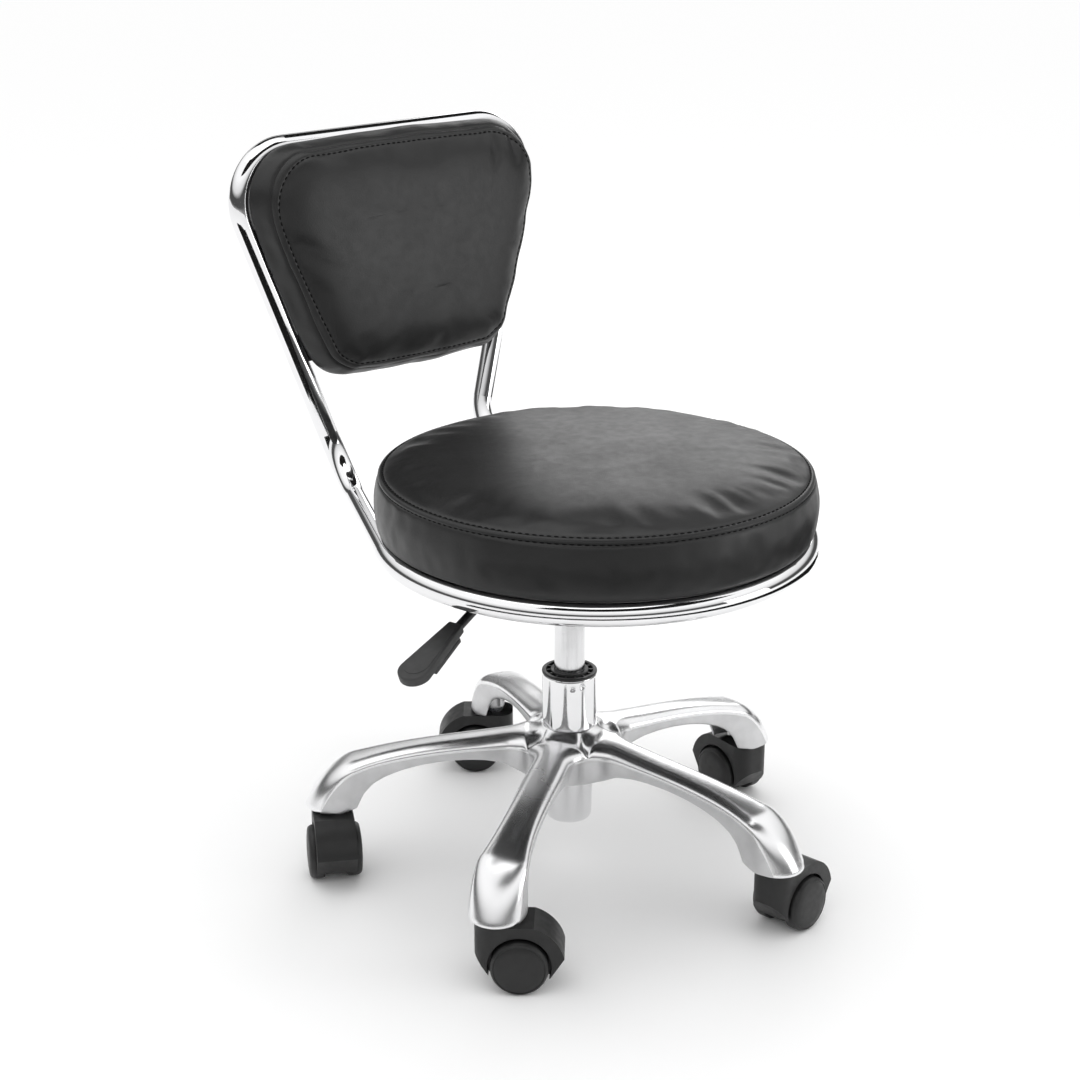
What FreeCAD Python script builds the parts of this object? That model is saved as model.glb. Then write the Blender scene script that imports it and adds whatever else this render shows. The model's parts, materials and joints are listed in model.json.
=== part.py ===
import FreeCAD, Part
import math
import os
import re

import Sketcher
from FreeCAD import Placement, Rotation, Vector

# Rolling stylist stool. The origin is on the floor under the gas lift's axis, +Z is up, the
# sitter faces -Y and the backrest is at +Y. Lengths are millimetres and angles are degrees.

os.makedirs("parts", exist_ok=True)
doc = FreeCAD.newDocument("stylist_stool")

# ---------------------------------------------------------------- driving dimensions

DIMENSIONS = [
    # five-star base
    ("arm_count", 5),
    ("first_arm_angle", -3),
    ("stem_circle_radius", 223),
    ("casting_wall", 3.5),
    ("hub_bottom", 98),
    ("hub_top", 146),
    ("hub_radius", 48),
    ("hub_wall", 6.5),
    ("hub_sleeve_radius", 29.5),
    ("hub_core_height", 22),
    ("boss_radius", 10),
    ("boss_bottom", 66.5),
    ("boss_bore_top", 96),
    # gas lift
    ("lift_tube_radius", 25),
    ("lift_tube_top", 196),
    ("lift_tube_bottom", 50),
    ("lift_tube_wall", 1.8),
    ("lift_foot_radius", 21.4),
    ("lift_taper_radius", 22.4),
    ("end_plate_height", 56),
    ("end_plate_thickness", 3),
    ("cylinder_radius", 14),
    ("cylinder_wall", 1.6),
    ("cylinder_bottom", 75),
    ("cylinder_cap", 12),
    ("cylinder_taper_bottom", 286),
    ("cylinder_taper_radius", 13.2),
    ("cylinder_top", 322),
    ("bushing_bottom", 122),
    ("bushing_flange_top", 199),
    ("running_gap", 0.05),
    ("piston_rod_radius", 5),
    ("piston_bottom", 178),
    ("piston_height", 14),
    ("release_pin_radius", 3),
    ("release_pin_top", 326.1),
    # seat mechanism
    ("socket_radius", 19),
    ("web_top", 319),
    ("plate_thickness", 3),
    ("flange_top", 344),
    ("channel_half_width", 45),
    ("plate_half_width", 75),
    ("plate_half_length", 62),
    ("bolt_half_spacing_across", 60),
    ("bolt_half_spacing_along", 40),
    ("bolt_radius", 4),
    # height lever
    ("lever_heading", 195),
    ("lever_drop", 20),
    ("lever_pivot_radius", 30),
    ("lever_pivot_height", 331),
    ("lever_bend_radius", 76),
    ("lever_rod_radius", 4),
    ("pivot_pin_radius", 2.5),
    # tube frame
    ("tube_radius", 10),
    ("tube_wall", 1.5),
    ("ring_height", 338),
    ("ring_radius", 187.6),
    ("ring_centre_forward", 34),
    ("ring_end_angle", 64),
    ("bend_radius", 51),
    ("neck_half_width", 77.5),
    ("leg_spread", 0.331),
    ("leg_recline", 0.1156),
    ("top_bar_height", 654.6),
    ("strap_width", 26),
    ("strap_thickness", 4),
    # seat
    ("board_radius", 182),
    ("board_thickness", 12),
    ("seat_bottom_radius", 189),
    ("seat_side_radius", 193.5),
    ("seat_seam_radius", 190),
    ("seat_seam_height", 399),
    ("seat_top_height", 413),
    # backrest, in its own leaning plane
    ("back_bottom", 104),
    ("back_top", 321),
    ("back_bottom_half_width", 103),
    ("back_top_half_width", 178),
    ("back_bottom_corner", 34),
    ("back_top_corner", 50),
    ("back_board_thickness", 9),
    ("back_side_depth", 26),
    ("back_side_slope", 20),
    ("back_face_depth", 9),
    ("lower_strap_height", 135),
    ("upper_strap_height", 236),
    # casters
    ("wheel_radius", 25),
    ("wheel_width", 15),
    ("wheel_gap", 10.5),
    ("wheel_hub_radius", 9),
    ("caster_trail", 20),
    ("hood_radius", 39),
    ("hood_width", 37),
    ("neck_radius", 18.5),
    ("neck_top", 62),
    ("wheel_well_radius", 27.5),
    ("stem_radius", 5.5),
    ("axle_radius", 4),
]

dims = doc.addObject("Spreadsheet::Sheet", "Dims")
dims.Label = "Dims"
for row, (alias, number) in enumerate(DIMENSIONS, start=1):
    dims.set("A%d" % row, alias)
    dims.set("B%d" % row, str(number))
    dims.setAlias("B%d" % row, alias)
doc.recompute()

ALIASES = {alias for alias, number in DIMENSIONS}
nodes = []


def size(text):
    """The value of an expression written with the sheet's aliases."""
    value = dims.evalExpression(sheet_expression(text))
    return float(getattr(value, "Value", value))


def sheet_expression(text):
    """An expression whose plain words become references to the sheet."""
    def reference(match):
        word = match.group(0)
        return "Dims." + word if word in ALIASES else word
    return re.sub(r"[A-Za-z_]+", reference, str(text))


def bind(thing, prop, text):
    """Bind one property or constraint to the sheet."""
    thing.setExpression(prop, sheet_expression(text))


# ---------------------------------------------------------------- sketch and body helpers

def new_body(label):
    body = doc.addObject("PartDesign::Body", label)
    body.Label = label
    nodes.append(body)
    return body


def new_sketch(body, role, name, offset="0"):
    """A sketch on one of the body's own origin planes, moved along the plane's normal."""
    sketch = body.newObject("Sketcher::SketchObject", name)
    plane = [item for item in body.Origin.OriginFeatures if item.Role == role][0]
    sketch.AttachmentSupport = (plane, [""])
    sketch.MapMode = "FlatFace"
    if offset != "0":
        sketch.AttachmentOffset = Placement(Vector(0, 0, size(offset)), Rotation())
        bind(sketch, "AttachmentOffset.Base.z", offset)
    return sketch


def pin_point(sketch, geometry, point, across, up):
    """Hold a sketch point at two expressions measured from the sketch's origin."""
    for kind, text in (("DistanceX", across), ("DistanceY", up)):
        index = sketch.addConstraint(
            Sketcher.Constraint(kind, -1, 1, geometry, point, size(text)))
        if not re.fullmatch(r"-?[0-9.]+", str(text)):
            bind(sketch, "Constraints[%d]" % index, text)


def add_polygon(sketch, corners):
    """A closed outline of straight edges through (across, up) expressions."""
    count = len(corners)
    places = [Vector(size(across), size(up), 0) for across, up in corners]
    first = sketch.GeometryCount
    for index in range(count):
        sketch.addGeometry(Part.LineSegment(places[index], places[(index + 1) % count]), False)
    for index, (across, up) in enumerate(corners):
        following = first + (index + 1) % count
        sketch.addConstraint(Sketcher.Constraint("Coincident", first + index, 2, following, 1))
        pin_point(sketch, first + index, 1, across, up)


def add_circle(sketch, across, up, radius):
    centre = Vector(size(across), size(up), 0)
    index = sketch.addGeometry(Part.Circle(centre, Vector(0, 0, 1), size(radius)), False)
    pin_point(sketch, index, 3, across, up)
    constraint = sketch.addConstraint(Sketcher.Constraint("Radius", index, size(radius)))
    bind(sketch, "Constraints[%d]" % constraint, radius)


def turned(label, profile, placement=Placement()):
    """A body turned about its own Z axis from (radius, height) expressions."""
    body = new_body(label)
    sketch = new_sketch(body, "XZ_Plane", label + "_profile")
    add_polygon(sketch, profile)
    turn = body.newObject("PartDesign::Revolution", label + "_turn")
    turn.Profile = sketch
    turn.ReferenceAxis = (sketch, ["V_Axis"])
    turn.Angle = 360
    sketch.Visibility = False
    body.Placement = placement
    return body


def padded(body, sketch, length, midplane=False, taper=0):
    pad = body.newObject("PartDesign::Pad", sketch.Name + "_pad")
    pad.Profile = sketch
    pad.Length = size(length)
    bind(pad, "Length", length)
    pad.Midplane = midplane
    pad.TaperAngle = taper
    return pad


def cut_through(body, sketch, both_ways=True):
    """Cut a sketch through the whole body; the volume must fall."""
    before = body.Shape.Volume
    pocket = body.newObject("PartDesign::Pocket", sketch.Name + "_cut")
    pocket.Profile = sketch
    pocket.Type = "ThroughAll"
    pocket.Midplane = both_ways
    doc.recompute()
    if body.Shape.Volume >= before:
        raise RuntimeError(pocket.Name + " cuts nothing")
    return pocket


def solid(label, shape, placement=None):
    """A piece set from a shape that was worked out from the sheet's sizes."""
    piece = doc.addObject("Part::Feature", label)
    piece.Label = label
    piece.Shape = shape
    if placement is not None:
        piece.Placement = placement
    nodes.append(piece)
    return piece


def group(shapes):
    return Part.makeCompound(shapes)


def polar(radius, angle, height=0.0):
    turn = math.radians(angle)
    return Vector(radius * math.cos(turn), radius * math.sin(turn), height)


# ---------------------------------------------------------------- five-star base

# One arm's stations outwards from the hub: distance from the axis, half width, bottom,
# shoulder where the rounded top begins, and crest.
ARM_STATIONS = [
    (20, 24.0, 98, 128, 141),
    (45, 19.5, 101, 127, 138.5),
    (75, 17.5, 111, 125, 135),
    (110, 17.0, 112.5, 121.5, 130.5),
    (150, 17.2, 106, 115, 124.5),
    (176, 18.6, 95, 108, 119),
    (190, 20.5, 82, 103, 115.5),
    (199, 22.3, 64, 98, 112.5),
    (212, 24.8, 64, 93, 107.5),
    (224, 25.5, 64, 87, 100.5),
    (236, 22.6, 64, 79, 88.5),
    (244, 16.0, 64, 71, 77),
    (248, 6.0, 64, 66, 68),
]


def arm_section(station, inset):
    """A closed inverted U across the arm; inset moves its sides and top inwards."""
    reach, half_width, bottom, shoulder, crest = station
    half = half_width - inset
    low = bottom - (6.0 if inset else 0.0)
    side = max(shoulder - inset * 0.5, low + 1.0)
    top = max(crest - inset, side + 0.8)
    left_low = Vector(reach, -half, low)
    left_side = Vector(reach, -half, side)
    right_side = Vector(reach, half, side)
    right_low = Vector(reach, half, low)
    return Part.Wire([
        Part.LineSegment(left_low, left_side).toShape(),
        Part.Arc(left_side, Vector(reach, 0, top), right_side).toShape(),
        Part.LineSegment(right_side, right_low).toShape(),
        Part.LineSegment(right_low, left_low).toShape(),
    ])


def hub_blank():
    """The hub's outside with its flare up to the gas lift, and a ring cored out from below."""
    hub_radius = size("hub_radius")
    bottom = size("hub_bottom")
    top = size("hub_top")
    neck = size("lift_tube_radius") + 2.0
    flare_start = Vector(hub_radius, 0, bottom + 29)
    flare_middle = Vector(hub_radius - 12, 0, bottom + 35)
    profile = Part.Wire([
        Part.LineSegment(Vector(0, 0, bottom), Vector(hub_radius, 0, bottom)).toShape(),
        Part.LineSegment(Vector(hub_radius, 0, bottom), flare_start).toShape(),
        Part.Arc(flare_start, flare_middle, Vector(neck, 0, top)).toShape(),
        Part.LineSegment(Vector(neck, 0, top), Vector(0, 0, top)).toShape(),
        Part.LineSegment(Vector(0, 0, top), Vector(0, 0, bottom)).toShape(),
    ])
    blank = Part.Face(profile).revolve(Vector(), Vector(0, 0, 1), 360)
    core_height = size("hub_core_height")
    core = Part.makeCylinder(hub_radius - size("hub_wall"), core_height, Vector(0, 0, bottom))
    sleeve = Part.makeCylinder(size("hub_sleeve_radius"), core_height, Vector(0, 0, bottom))
    return blank, core.cut(sleeve)


def lift_taper(gap=0.0):
    """The taper on which the gas lift's tube wedges into the hub."""
    top_radius = size("lift_tube_radius") + gap
    low_radius = size("lift_taper_radius") + gap
    bottom = size("hub_bottom")
    return Part.makeCone(low_radius, top_radius, size("hub_top") - bottom, Vector(0, 0, bottom))


def star_base():
    wall = size("casting_wall")
    reach = size("stem_circle_radius")
    arm = Part.makeLoft([arm_section(station, 0) for station in ARM_STATIONS], True, True)
    hollow = Part.makeLoft([arm_section(station, wall) for station in ARM_STATIONS[1:-1]], True, True)
    boss_bottom = size("boss_bottom")
    boss = Part.makeCylinder(size("boss_radius"), 40, Vector(reach, 0, boss_bottom))
    boss = boss.common(arm)
    bore_height = size("boss_bore_top") - boss_bottom + 1
    bore_radius = size("stem_radius + running_gap")
    bore = Part.makeCylinder(bore_radius, bore_height, Vector(reach, 0, boss_bottom - 1))
    arm = arm.cut(hollow).fuse(boss).cut(bore)
    start = size("first_arm_angle")
    step = 360.0 / size("arm_count")
    arms = []
    for index in range(int(size("arm_count"))):
        turned_arm = arm.copy()
        turned_arm.rotate(Vector(), Vector(0, 0, 1), start + index * step)
        arms.append(turned_arm)
    blank, core = hub_blank()
    return blank.multiFuse(arms).cut(core).cut(lift_taper()).removeSplitter()


solid("star_base", star_base())

# ---------------------------------------------------------------- gas lift

INNER = "lift_tube_radius - lift_tube_wall"
turned("gas_lift_outer_tube", [
    ("lift_foot_radius - lift_tube_wall", "end_plate_height"),
    ("lift_foot_radius - lift_tube_wall", "lift_tube_bottom"),
    ("lift_foot_radius - 1", "lift_tube_bottom"),
    ("lift_foot_radius", "lift_tube_bottom + 2.5"),
    ("lift_taper_radius", "hub_bottom"),
    ("lift_tube_radius", "hub_top"),
    ("lift_tube_radius", "lift_tube_top"),
    (INNER, "lift_tube_top"),
    (INNER, "hub_top"),
    ("lift_taper_radius - lift_tube_wall", "hub_bottom"),
    ("lift_foot_radius - lift_tube_wall", "end_plate_height + end_plate_thickness"),
    ("4.2", "end_plate_height + end_plate_thickness"),
    ("4.2", "end_plate_height"),
])
turned("guide_bushing", [
    ("cylinder_radius + running_gap", "bushing_bottom"),
    ("cylinder_radius + 5", "bushing_bottom"),
    ("cylinder_radius + 5", "hub_top + 6"),
    (INNER, "hub_top + 6"),
    (INNER, "lift_tube_top"),
    ("lift_tube_radius + 0.4", "lift_tube_top"),
    ("lift_tube_radius + 0.4", "bushing_flange_top - 0.8"),
    ("lift_tube_radius - 0.6", "bushing_flange_top"),
    ("cylinder_radius + running_gap", "bushing_flange_top"),
])
turned("gas_cylinder", [
    ("piston_rod_radius + running_gap", "cylinder_bottom"),
    ("cylinder_radius - 1", "cylinder_bottom"),
    ("cylinder_radius", "cylinder_bottom + 1"),
    ("cylinder_radius", "cylinder_taper_bottom"),
    ("cylinder_taper_radius", "cylinder_top - 1"),
    ("cylinder_taper_radius - 1", "cylinder_top"),
    ("release_pin_radius + running_gap", "cylinder_top"),
    ("release_pin_radius + running_gap", "cylinder_top - 22"),
    ("cylinder_radius - cylinder_wall", "cylinder_top - 22"),
    ("cylinder_radius - cylinder_wall", "cylinder_bottom + cylinder_cap"),
    ("piston_rod_radius + running_gap", "cylinder_bottom + cylinder_cap"),
])
turned("release_pin", [
    ("0", "cylinder_top - 30"),
    ("release_pin_radius - 0.6", "cylinder_top - 30"),
    ("release_pin_radius", "cylinder_top - 29.4"),
    ("release_pin_radius", "release_pin_top - 0.8"),
    ("release_pin_radius - 0.8", "release_pin_top"),
    ("0", "release_pin_top"),
])
turned("piston_rod", [
    ("0", "end_plate_height - 4.5"),
    ("3.4", "end_plate_height - 4.5"),
    ("3.4", "end_plate_height - 3.2"),
    ("2.8", "end_plate_height - 3.2"),
    ("2.8", "end_plate_height - 2"),
    ("4.15", "end_plate_height - 2"),
    ("4.15", "end_plate_height + end_plate_thickness + 2"),
    ("piston_rod_radius", "end_plate_height + end_plate_thickness + 5"),
    ("piston_rod_radius", "piston_bottom"),
    ("0", "piston_bottom"),
])
turned("piston", [
    ("0", "piston_bottom"),
    ("cylinder_radius - cylinder_wall - running_gap", "piston_bottom"),
    ("cylinder_radius - cylinder_wall - running_gap", "piston_bottom + piston_height"),
    ("0", "piston_bottom + piston_height"),
])

BEARING = "end_plate_height + end_plate_thickness"
turned("thrust_bearing_lower_race", [
    ("4.2", BEARING),
    ("14", BEARING),
    ("14", BEARING + " + 1.5"),
    ("4.2", BEARING + " + 1.5"),
])
turned("thrust_bearing_upper_race", [
    ("5.4", BEARING + " + 4.5"),
    ("14", BEARING + " + 4.5"),
    ("14", BEARING + " + 6"),
    ("5.4", BEARING + " + 6"),
])
BALL_COUNT = 10
ball_height = size(BEARING) + 3.0
balls = [
    Part.makeSphere(1.48, polar(10.0, index * 360.0 / BALL_COUNT, ball_height))
    for index in range(BALL_COUNT)
]
solid("thrust_bearing_balls", group(balls))
turned("bump_stop", [
    ("5.2", BEARING + " + 6"),
    ("13", BEARING + " + 6"),
    ("11.5", "cylinder_bottom - 0.4"),
    ("5.2", "cylinder_bottom - 0.4"),
])


def retaining_clip():
    """A split ring in the piston rod's end groove, under the tube's end plate."""
    height = size("end_plate_height") - 3.1
    ring = Part.makeCylinder(7.5, 1.0, Vector(0, 0, height))
    ring = ring.cut(Part.makeCylinder(2.85, 1.0, Vector(0, 0, height)))
    return ring.cut(Part.makeBox(10, 4, 1.0, Vector(0, -2, height)))


solid("rod_retaining_clip", retaining_clip())

# ---------------------------------------------------------------- tube frame

tube_radius = size("tube_radius")
ring_height = size("ring_height")
ring_radius = size("ring_radius")
ring_end = math.radians(size("ring_end_angle"))
ring_centre = Vector(0, -size("ring_centre_forward"), ring_height)
ring_exit = ring_centre + Vector(ring_radius * math.sin(ring_end), ring_radius * math.cos(ring_end), 0)
neck_heading = Vector(-math.cos(ring_end), math.sin(ring_end), 0)
neck_length = (ring_exit.x - size("neck_half_width")) / math.cos(ring_end)
leg_foot = ring_exit + neck_heading * neck_length
leg_heading = Vector(size("leg_spread"), size("leg_recline"), 1)
leg_heading.normalize()
leg_length = (size("top_bar_height") - ring_height) / leg_heading.z
leg_top = leg_foot + leg_heading * leg_length
back_lean = math.degrees(math.atan(size("leg_recline")))


def mirrored(point):
    return Vector(-point.x, point.y, point.z)


def bent_path(points, radius):
    """Straight runs through the points, joined by tangent arcs of one radius."""
    edges = []
    start = points[0]
    for before, corner, after in zip(points, points[1:], points[2:]):
        back = (before - corner).normalize()
        ahead = (after - corner).normalize()
        half_turn = (math.pi - back.getAngle(ahead)) / 2
        setback = radius * math.tan(half_turn)
        arc_start = corner + back * setback
        arc_end = corner + ahead * setback
        inwards = (back + ahead).normalize()
        to_centre = radius / math.cos(half_turn)
        arc_middle = corner + inwards * (to_centre - radius)
        edges.append(Part.LineSegment(start, arc_start).toShape())
        edges.append(Part.Arc(arc_start, arc_middle, arc_end).toShape())
        start = arc_end
    edges.append(Part.LineSegment(start, points[-1]).toShape())
    return Part.Wire(edges)


def tube_along(path, heading, outside, inside):
    """A round tube swept along a path that starts in the given heading."""
    start = path.Vertexes[0].Point
    skins = []
    for radius in (outside, inside):
        section = Part.Wire([Part.Circle(start, heading, radius).toShape()])
        skins.append(path.makePipeShell([section], True, False))
    return skins[0], skins[1]


back_points = [ring_exit, leg_foot, leg_top, mirrored(leg_top), mirrored(leg_foot), mirrored(ring_exit)]
back_path = bent_path(back_points, size("bend_radius"))
back_outer, back_inner = tube_along(
    back_path, neck_heading, tube_radius, tube_radius - size("tube_wall"))

arc_front = ring_centre - Vector(0, ring_radius, 0)
ring_path = Part.Wire([Part.Arc(mirrored(ring_exit), arc_front, ring_exit).toShape()])
ring_outer, ring_inner = tube_along(
    ring_path, mirrored(neck_heading * -1), tube_radius, tube_radius - size("tube_wall"))

solid("seat_ring_tube", ring_outer.cut(ring_inner))
solid("back_loop_tube", back_outer.cut(back_inner))

frame_solid = [ring_outer, back_outer]
STRAP_END_GAP = 4.5


def seat_strap(along):
    """A flat bar across the ring, with rounded-in ends coped onto the tube."""
    width = size("strap_width")
    thickness = size("strap_thickness")
    corner = Vector(-ring_radius, along - width / 2, size("flange_top"))
    bar = Part.makeBox(2 * ring_radius, width, thickness, corner)
    bar = bar.common(Part.makeCylinder(
        ring_radius - STRAP_END_GAP, thickness,
        ring_centre + Vector(0, 0, size("flange_top") - ring_height)))
    for side in (-1, 1):
        hole_place = Vector(side * size("bolt_half_spacing_across"), along, size("flange_top"))
        bar = bar.cut(Part.makeCylinder(size("bolt_radius") + 0.3, thickness, hole_place))
    return bar.cut(frame_solid)


solid("seat_strap_front", seat_strap(-size("bolt_half_spacing_along")))
solid("seat_strap_rear", seat_strap(size("bolt_half_spacing_along") - 12))

# ---------------------------------------------------------------- seat mechanism

strap_places = [-size("bolt_half_spacing_along"), size("bolt_half_spacing_along") - 12]
bolt_places = [
    Vector(side * size("bolt_half_spacing_across"), along, 0)
    for side in (-1, 1) for along in strap_places
]
lever_angle = size("lever_heading")


def channel_plate():
    """A pressed channel: a low web that takes the socket, walls, and flanges for the bolts."""
    half_length = size("plate_half_length")
    half_channel = size("channel_half_width")
    half_plate = size("plate_half_width")
    thick = size("plate_thickness")
    web = size("web_top")
    top = size("flange_top")
    outline = [
        (half_plate, top), (half_plate, top - thick), (half_channel + thick, top - thick),
        (half_channel, web - thick), (-half_channel, web - thick),
        (-half_channel - thick, top - thick), (-half_plate, top - thick), (-half_plate, top),
        (-half_channel, top), (-half_channel + thick, web), (half_channel - thick, web),
        (half_channel, top),
    ]
    corners = [Vector(across, -half_length, up) for across, up in outline]
    plate = Part.Face(Part.makePolygon(corners + corners[:1])).extrude(Vector(0, 2 * half_length, 0))
    for place in bolt_places:
        plate = plate.cut(Part.makeCylinder(size("bolt_radius") + 0.3, 60, place + Vector(0, 0, 300)))
    plate = plate.cut(Part.makeCylinder(size("socket_radius"), 20, Vector(0, 0, web - 10)))
    slot = Part.makeBox(60, 11, top - thick - web - 4, Vector(28, -5.5, web + 4))
    slot.rotate(Vector(), Vector(0, 0, 1), lever_angle)
    return plate.cut(slot)


solid("mechanism_plate", channel_plate())
turned("taper_socket", [
    ("cylinder_radius", "cylinder_taper_bottom"),
    ("socket_radius - 1", "cylinder_taper_bottom"),
    ("socket_radius", "cylinder_taper_bottom + 1"),
    ("socket_radius", "web_top"),
    ("cylinder_taper_radius + 2 * (cylinder_radius - cylinder_taper_radius)"
     " / (cylinder_top - 1 - cylinder_taper_bottom)", "web_top"),
])

lever_out = polar(1, lever_angle)
lever_side = Vector(0, 0, 1).cross(lever_out)
pivot = lever_out * size("lever_pivot_radius") + Vector(0, 0, size("lever_pivot_height"))
lever_frame = Placement(Vector(), Rotation(Vector(0, 0, 1), lever_angle))


def lever_bracket():
    """Two ears on the web that carry the lever's pivot pin."""
    web = size("web_top")
    radius = size("lever_pivot_radius")
    height = size("lever_pivot_height")
    ears = []
    for low in (-9.0, 6.0):
        ear = Part.makeBox(14, 3, height + 6 - web, Vector(radius - 7, low, web))
        ears.append(ear)
    foot = Part.makeBox(14, 12, 2, Vector(radius - 7, -6, web))
    foot = foot.cut(Part.makeCylinder(size("socket_radius") + 0.5, 4, Vector(0, 0, web)))
    bracket = ears[0].multiFuse([ears[1], foot])
    bore = Part.makeCylinder(
        size("pivot_pin_radius"), 24, Vector(radius, -12, height), Vector(0, 1, 0))
    return bracket.cut(bore).removeSplitter()


solid("lever_bracket", lever_bracket(), lever_frame)
pin_shape = Part.makeCylinder(
    size("pivot_pin_radius"), 21, Vector(size("lever_pivot_radius"), -10.5, size("lever_pivot_height")),
    Vector(0, 1, 0))
for end in (-12.0, 10.5):
    pin_shape = pin_shape.fuse(Part.makeCylinder(
        size("pivot_pin_radius") + 1.2, 1.5,
        Vector(size("lever_pivot_radius"), end, size("lever_pivot_height")), Vector(0, 1, 0)))
solid("lever_pivot_pin", pin_shape.removeSplitter(), lever_frame)

LEVER_LENGTH = 176.0
drop = math.radians(size("lever_drop"))
bend_point = Vector(size("lever_bend_radius"), 0, size("lever_pivot_height") - 1)
rod_end = bend_point + Vector(math.cos(drop), 0, -math.sin(drop)) * (
    (LEVER_LENGTH - bend_point.x) / math.cos(drop))


def lever_rod():
    """A flat inner arm on the pivot, then a bent round rod out to the paddle."""
    height = size("lever_pivot_height")
    arm = Part.makeBox(56, 8, 9, Vector(-6, -4, height - 4.5))
    arm = arm.cut(Part.makeCylinder(
        size("pivot_pin_radius") + size("running_gap"), 12,
        Vector(size("lever_pivot_radius"), -6, height), Vector(0, 1, 0)))
    start = Vector(44, 0, height - 1)
    path = bent_path([start, bend_point, rod_end], 22)
    section = Part.Wire([Part.Circle(start, Vector(1, 0, 0), size("lever_rod_radius")).toShape()])
    rod = path.makePipeShell([section], True, False)
    return arm.fuse(rod).removeSplitter()


solid("lever_rod", lever_rod(), lever_frame)


def lever_paddle():
    """A flat tapered grip with a round outer end and a stepped underside, along its own X."""
    narrow = 7.0
    wide = 14.5
    length = 76.0
    round_centre = length - wide
    face = Part.Wire([
        Part.LineSegment(Vector(0, -narrow, 0), Vector(round_centre, -wide, 0)).toShape(),
        Part.Arc(
            Vector(round_centre, -wide, 0), Vector(length, 0, 0), Vector(round_centre, wide, 0)
        ).toShape(),
        Part.LineSegment(Vector(round_centre, wide, 0), Vector(0, narrow, 0)).toShape(),
        Part.LineSegment(Vector(0, narrow, 0), Vector(0, -narrow, 0)).toShape(),
    ])
    grip = Part.Face(face).extrude(Vector(0, 0, 13))
    step = Part.makeBox(30, 40, 4, Vector(length - 24, -20, 0))
    heel = Part.makeBox(10, 40, 3, Vector(-1, -20, 0))
    grip = grip.cut(step).cut(heel)
    socket = Part.makeCylinder(size("lever_rod_radius"), 8, Vector(-1, 0, 6.5), Vector(1, 0, 0))
    return grip.cut(socket)


paddle_turn = Rotation(Vector(0, 1, 0), size("lever_drop"))
paddle_start = rod_end - paddle_turn.multVec(Vector(7, 0, 6.5))
paddle_place = lever_frame.multiply(Placement(paddle_start, paddle_turn))
solid("lever_paddle", lever_paddle(), paddle_place)


def hex_bolt(place):
    """An M8 bolt from under the flange up into the seat board."""
    under = size("flange_top - plate_thickness")
    corners = [polar(7.2, index * 60, under - 5) + place for index in range(7)]
    head = Part.Face(Part.makePolygon(corners)).extrude(Vector(0, 0, 5))
    shank = Part.makeCylinder(size("bolt_radius"), 17, place + Vector(0, 0, under))
    return head.fuse(shank).removeSplitter()


BOARD_BOTTOM = "ring_height + tube_radius"
solid("mechanism_bolts", group([hex_bolt(place) for place in bolt_places]))


def tee_nut(place, bottom, radius, barrel):
    """A tee nut pressed into a board from its far side."""
    top = bottom + barrel
    flange = Part.makeCylinder(radius + 5, 1.2, place + Vector(0, 0, top - 1.2))
    sleeve = Part.makeCylinder(radius + 1.2, barrel, place + Vector(0, 0, bottom))
    return sleeve.fuse(flange).cut(Part.makeCylinder(radius, barrel + 1, place + Vector(0, 0, bottom)))


board_bottom = size(BOARD_BOTTOM)
board_thickness = size("board_thickness")
tee_nuts = [tee_nut(place, board_bottom, size("bolt_radius"), board_thickness) for place in bolt_places]
solid("seat_tee_nuts", group(tee_nuts))

# ---------------------------------------------------------------- seat

seat_centre = Placement(Vector(0, ring_centre.y, 0), Rotation())
board = Part.makeCylinder(
    size("board_radius"), board_thickness, Vector(0, ring_centre.y, board_bottom))
solid("seat_board", board.cut(tee_nuts).cut([
    Part.makeCylinder(size("bolt_radius"), board_thickness, place + Vector(0, 0, board_bottom))
    for place in bolt_places]))
turned("seat_cushion", [
    ("0", BOARD_BOTTOM + " + board_thickness + 0.1"),
    ("board_radius + 0.1", BOARD_BOTTOM + " + board_thickness + 0.1"),
    ("board_radius + 0.1", BOARD_BOTTOM + " + 0.1"),
    ("seat_bottom_radius", BOARD_BOTTOM + " + 0.1"),
    ("seat_side_radius - 0.8", BOARD_BOTTOM + " + 8"),
    ("seat_side_radius", BOARD_BOTTOM + " + 24"),
    ("seat_seam_radius", "seat_seam_height"),
    ("seat_seam_radius - 16", "seat_seam_height + 6.5"),
    ("seat_seam_radius - 60", "seat_top_height - 1.5"),
    ("0", "seat_top_height"),
], seat_centre)

# ---------------------------------------------------------------- backrest

back_place = Placement(Vector(0, leg_foot.y, ring_height), Rotation(Vector(1, 0, 0), -back_lean))
SURFACE = tube_radius + 0.3


def back_half_width(height, inset=0.0):
    """Half the pad's width at a height up the leaning plane."""
    low = size("back_bottom")
    rise = (height - low) / (size("back_top") - low)
    narrow = size("back_bottom_half_width")
    return narrow + rise * (size("back_top_half_width") - narrow) - inset


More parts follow.
